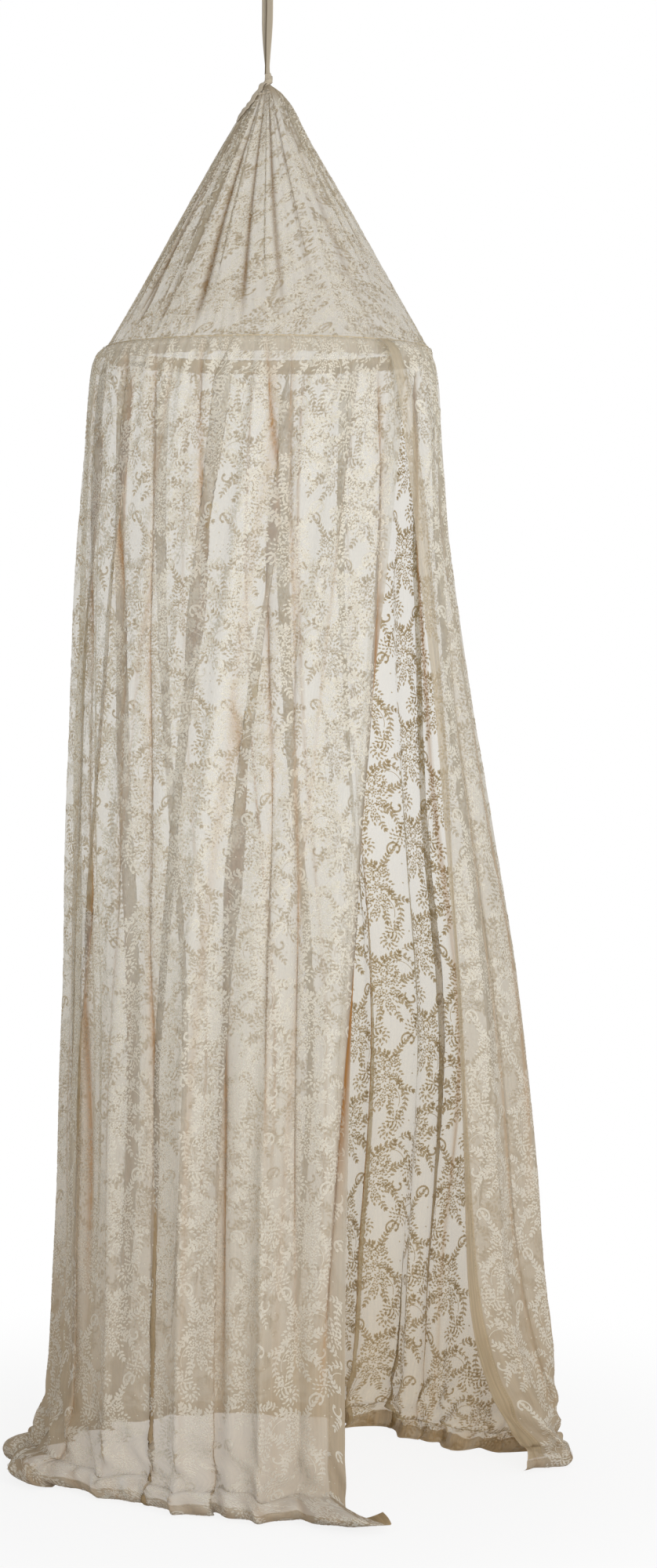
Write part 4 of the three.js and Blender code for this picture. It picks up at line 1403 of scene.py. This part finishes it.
@dataclass
class Drape:
    """The three widths of lace with their hems, facings and flowers."""

    form: DrapeForm
    tile: LaceTile
    stitching: Stitching
    seams: tuple[float, float] = (0.36, 0.64)
    facing_width: float = 0.034
    left_fold: FlapFold = FlapFold(Side.LEFT, (0.634, -0.757, -0.160))
    right_fold: FlapFold = FlapFold(Side.RIGHT, (-0.9617, 0.1251, -0.2436))

    def build(self, net: Material, yarn: Material, voile: Material, facing: Material,
              thread: Material) -> None:
        """Makes the drape; the back width's pieces are hung on the canopy, the front widths' pieces keep
        their place.
        """
        cloth = self.form.cloth()
        last = self.form.columns - 1
        stops = [0, *(round(seam * last) for seam in self.seams), last]
        hem_row = int(np.searchsorted(cloth.downs, cloth.length - self.form.hem_height))
        hem_top = float(cloth.downs[hem_row])
        folds = {"left": self.left_fold, "back": None, "right": self.right_fold}
        for (name, fold), start, end in zip(folds.items(), stops, stops[1:]):
            columns, shares = slice(start, end + 1), (start / last, end / last)
            sheet = cloth.cut(name + "_lace", columns, slice(None), net)
            flowers = self.tile.stamp(cloth, name + "_flowers", shares, (0.002, cloth.length - 0.003),
                                      (0.006, self.facing_width + 0.001), yarn)
            hem = cloth.cut(name + "_hem", columns, slice(hem_row, None), voile, lift=-0.0007)
            extras = [flowers, hem]
            along = np.linspace(shares[0] + 0.001, shares[1] - 0.001, 400)
            lines = [(along, np.full(400, down)) for down in (hem_top + 0.002, 0.004)]
            if fold:
                extras.append(self._facing(cloth, fold.side, slice(0, hem_row), net, facing))
                lines.append(self._facing_line(fold.side, hem_top))
            extras.append(self.stitching.sew(cloth, name + "_stitches", lines, thread, lift=0.0018))
            for piece in (sheet, *extras):
                if fold:
                    fold.bend(piece)
                else:
                    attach(piece, "canopy")
            self._declare(extras, name)
            LOG.info("%s lace: %d faces, flowers %d", name, len(sheet.data.polygons),
                     len(flowers.data.polygons))

    def _facing(self, cloth: ClothMap, side: Side, rows: slice, net: Material, facing: Material) -> Piece:
        """The plain strip along a front edge, inside the left one and outside the right one."""
        last = self.form.columns - 1
        wide = round(self.facing_width / self.form.flat_width * last)
        if side is Side.LEFT:
            return cloth.cut("left_facing_strip", slice(0, wide + 1), rows, net, lift=-0.0010)
        return cloth.cut("right_facing_strip", slice(last - wide, last + 1), rows, facing, lift=0.0010)

    def _facing_line(self, side: Side, hem_top: float) -> tuple[np.ndarray, np.ndarray]:
        """Where the stitches run down a facing strip, as shares and places down the cloth."""
        share = (self.facing_width - 0.003) / self.form.flat_width
        down = np.linspace(0.003, hem_top - 0.002, 900)
        return np.full(900, share if side is Side.LEFT else 1 - share), down

    def _declare(self, extras: list[Piece], name: str) -> None:
        """Hides the CAD parts that one width of the drape and its facing strip stand in for."""
        flap = [] if name == "back" else [name + "_front_flap"]
        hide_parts(name + "_curtain", *flap)
        for piece in extras:
            if piece.name.endswith("_facing_strip"):
                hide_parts(name + "_facing_top", name + "_facing")


@dataclass
class Crown:
    """The lace cone with its flowers, the rim seam and the hoop in its casing."""

    form: ConeForm
    tile: LaceTile
    stitching: Stitching
    casing: HoopCasing
    seam: RimSeam

    def build(self, net: Material, yarn: Material, channel: Material, thread: Material,
              plastic: Material) -> None:
        """Makes the crown and hangs it on the canopy."""
        cloth = self.form.cloth()
        sheet = cloth.cut("cone_lace", slice(None), slice(None), net, closed=True)
        flowers = self.tile.stamp(cloth, "cone_flowers", (0.0, 1.0), (0.012, cloth.length - 0.001),
                                  (0.001, 0.001), yarn)
        casing = self.casing.build(channel)
        seam = self.seam.build(thread)
        line = (np.linspace(0.001, 0.999, 700), np.full(700, cloth.length - 0.004))
        stitches = self.stitching.sew(cloth, "cone_stitches", [line], thread, lift=0.0012)
        for piece in (sheet, flowers, casing, seam, stitches):
            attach(piece, "canopy")
        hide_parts("crown_cone", "crown_neck")
        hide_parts("hoop_casing")
        for name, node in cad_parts.items():
            if name.startswith(("hoop_tube", "hoop_plug")):
                node.data.materials.clear()
                node.data.materials.append(plastic)
        LOG.info("cone: %d faces, flowers %d", len(sheet.data.polygons), len(flowers.data.polygons))


@dataclass
class TapeWork:
    """The hanging tape in its three pieces."""

    tape: HangingTape
    cone: ConeForm

    def build(self, material: Material, shade: Material) -> None:
        """Makes the tape; the knot and the free end are hung on their bodies, the loop keeps its place."""
        loop = self.tape.loop(material, shade)
        knot = self.tape.knot(material)
        tail = self.tape.tail(self.cone, material, shade)
        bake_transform(loop)
        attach(knot, "knot")
        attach(tail, "canopy")
        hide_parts("hanging_loop")
        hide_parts("loop_knot")
        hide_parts("loop_tail")
        LOG.info("tape: loop, knot and free end")


@dataclass(frozen=True)
class PhotoView:
    """The photograph's camera, worked out from its frame and the canopy's known sizes."""

    frame_width: float = 838.0
    frame_height: float = 2000.0
    focal_pixels: float = 4142.0
    axis_pixel: float = 341.0
    horizon_pixel: float = 780.0
    distance: float = 5.063
    height: float = -1.068
    bearing: float = 60.0
    sensor: float = 36.0

    def place(self) -> None:
        """Makes the scene's camera."""
        data = bpy.data.cameras.new("photo_camera")
        data.sensor_width = self.sensor
        data.lens = self.focal_pixels * self.sensor / self.frame_height
        data.shift_y = (self.horizon_pixel - self.frame_height / 2) / self.frame_height
        data.clip_end = 100
        angle = math.radians(self.bearing)
        forward = Vector((math.sin(angle), math.cos(angle), 0.0))
        right = Vector((forward.y, -forward.x, 0.0))
        aside = (self.frame_width / 2 - self.axis_pixel) / self.focal_pixels * self.distance
        camera = bpy.data.objects.new("photo_camera", data)
        camera.location = right * aside - forward * self.distance + Vector((0, 0, self.height))
        camera.rotation_euler = (math.pi / 2, 0.0, -angle)
        bpy.context.scene.collection.objects.link(camera)
        bpy.context.scene.camera = camera


@dataclass(frozen=True)
class Studio:
    """A pale floor, a white surround and soft lamps."""

    ambient: float = 0.50
    key_watts: float = 117.0
    fill_watts: float = 8.5
    back_watts: float = 33.0
    top_watts: float = 4.0
    aim: tuple[float, float, float] = (0, 0, -1.2)
    shadow_share: float = 0.15
    shadow_ends: tuple[float, float] = (0.45, 1.3)
    floor_radius: float = 9.0
    floor_gap: float = 0.0006

    def build(self) -> None:
        """Makes the floor, the surround and the lamps."""
        self._floor()
        self._surround()
        self._lamp("key_lamp", (-2.8, -3.6, -0.5), 2.6, self.key_watts)
        self._lamp("fill_lamp", (2.6, -3.8, -1.1), 3.0, self.fill_watts)
        self._lamp("back_lamp", (3.6, 1.2, -1.2), 2.6, self.back_watts)
        self._lamp("top_lamp", (-0.6, 0.4, 2.0), 3.0, self.top_watts)

    def _floor(self) -> None:
        """A round floor that turns into the white surround."""
        bpy.ops.object.select_all(action="DESELECT")
        bpy.ops.mesh.primitive_circle_add(vertices=96, radius=self.floor_radius, fill_type="NGON",
                                          location=(0, 0, -FLOOR_DROP - self.floor_gap))
        floor = bpy.context.active_object
        floor.name = "studio_floor"
        material, nodes = new_material("pale_floor")
        place = nodes.add("TexCoord").outputs["Object"]
        away = nodes.add("VectorMath", {0: place}, operation="LENGTH").outputs["Value"]
        near, far = self.shadow_ends
        fade = nodes.add("MapRange", {"Value": away, "From Min": near, "From Max": far,
                                      "To Min": 1 - self.shadow_share, "To Max": 1.0},
                         interpolation_type="SMOOTHSTEP").outputs[0]
        seen = nodes.add("LightPath").outputs["Is Camera Ray"]
        lit = nodes.add("BsdfDiffuse", {"Color": (0.85, 0.85, 0.85, 1)}).outputs[0]
        bright = nodes.add("Emission", {"Color": (1, 1, 1, 1), "Strength": 1.0}).outputs[0]
        shader = nodes.blend(nodes.maths("MULTIPLY", fade, seen), lit, bright)
        nodes.add("OutputMaterial", {"Surface": shader})
        floor.data.materials.append(material)

    def _surround(self) -> None:
        """A world that is white to the camera and dimmer as light."""
        world = bpy.data.worlds.new("white_surround")
        bpy.context.scene.world = world
        nodes = Nodes(world)
        rays = nodes.add("LightPath").outputs
        seen = nodes.maths("MAXIMUM", rays["Is Camera Ray"], rays["Is Glossy Ray"])
        seen = nodes.maths("MAXIMUM", seen, rays["Is Transmission Ray"])
        strength = nodes.ranged(seen, self.ambient, 1.0)
        background = nodes.add("Background", {"Color": (1, 1, 1, 1), "Strength": strength}).outputs[0]
        nodes.add("OutputWorld", {"Surface": background})

    def _lamp(self, name: str, place: tuple[float, float, float], size: float, watts: float) -> None:
        """A square area lamp that points at the middle of the canopy."""
        data = bpy.data.lights.new(name, "AREA")
        data.size = size
        data.energy = watts
        lamp = bpy.data.objects.new(name, data)
        lamp.location = place
        aim = Vector(self.aim) - Vector(place)
        lamp.rotation_euler = aim.to_track_quat("-Z", "Y").to_euler()
        bpy.context.scene.collection.objects.link(lamp)


def main() -> None:
    """Builds the canopy, the camera and the studio."""
    logging.basicConfig(level=logging.INFO, format="%(name)s: %(message)s")
    scene = bpy.context.scene
    scene.view_settings.view_transform = "Standard"
    scene.cycles.transparent_max_bounces = 48
    PhotoView().place()
    Studio().build()
    # Each cloth's back colour is a darker tan painted shade of the canopy's inside; the hoop channel has its
    # lit and shaded colours the other way round.
    net = SheerFinish("lace_ground").material()
    # The cone's lace ground is the drape's cloth painted darker, with darker crease shade: painted shade of
    # the cone's upward-facing side.
    shaded_cone_net = SheerFinish("cone_ground_shaded", front="cdc6b8", dense_and_shaded="b9a68a", pleat_shade="876840",
                           opacity=0.44, back_opacity=0.40, most_dense=0.5).material()
    voile = SheerFinish("plain_voile", front="d9cbb0", back="c0a67c", pleat_shade="c4aa80", opacity=0.36,
                        pleat_opacity=0.8, streak=0.3).material()
    # The hoop channel's near-white back colour, seen on the near band from outside, is painted light on a
    # band that sits in the drape's shade; its tan front colour, seen on the far band from inside, is painted
    # shade.
    channel = SheerFinish("hoop_channel", front="dcc8a2", back="fffaf0", pleat_shade="c9b189", opacity=0.62,
                          back_opacity=0.75, pleat_opacity=0.8, streak=0.2).material()
    facing = SheerFinish("facing_voile", front="dcceb4", back="c3ab83", pleat_shade="c9b189", opacity=0.3,
                         pleat_opacity=0.85, streak=0.4).material()
    yarn = YarnFinish("lace_flower_yarn").material()
    # The cone's flowers: a darker copy of the drape's yarn, painted shade.
    shaded_cone_yarn = YarnFinish("cone_flower_yarn_shaded", front="eeeade", pleat_shade="a58a60").material()
    thread = TapeFinish("sewing_thread", colour="ded2b9", shade="c2b293", rib=0.0006).material()
    tape = TapeFinish("woven_tape", colour="d6cbb9", shade="a99c86").material()
    # A dark tape colour used only for the painted shadow strips on the loop and the free end.
    fold = TapeFinish("painted_slit_shadow", colour="75664e", shade="5c4f3b", rib=0.0006).material()
    plastic = PlasticFinish("hoop_plastic").material()
    tile = LaceTile().draw()
    stitching = Stitching()
    cone = ConeForm()
    Crown(cone, tile, stitching, HoopCasing(), RimSeam()).build(shaded_cone_net, shaded_cone_yarn, channel, thread, plastic)
    Drape(DrapeForm(), tile, stitching).build(net, yarn, voile, facing, thread)
    TapeWork(HangingTape(), cone).build(tape, fold)


if __name__ == "__main__":
    main()
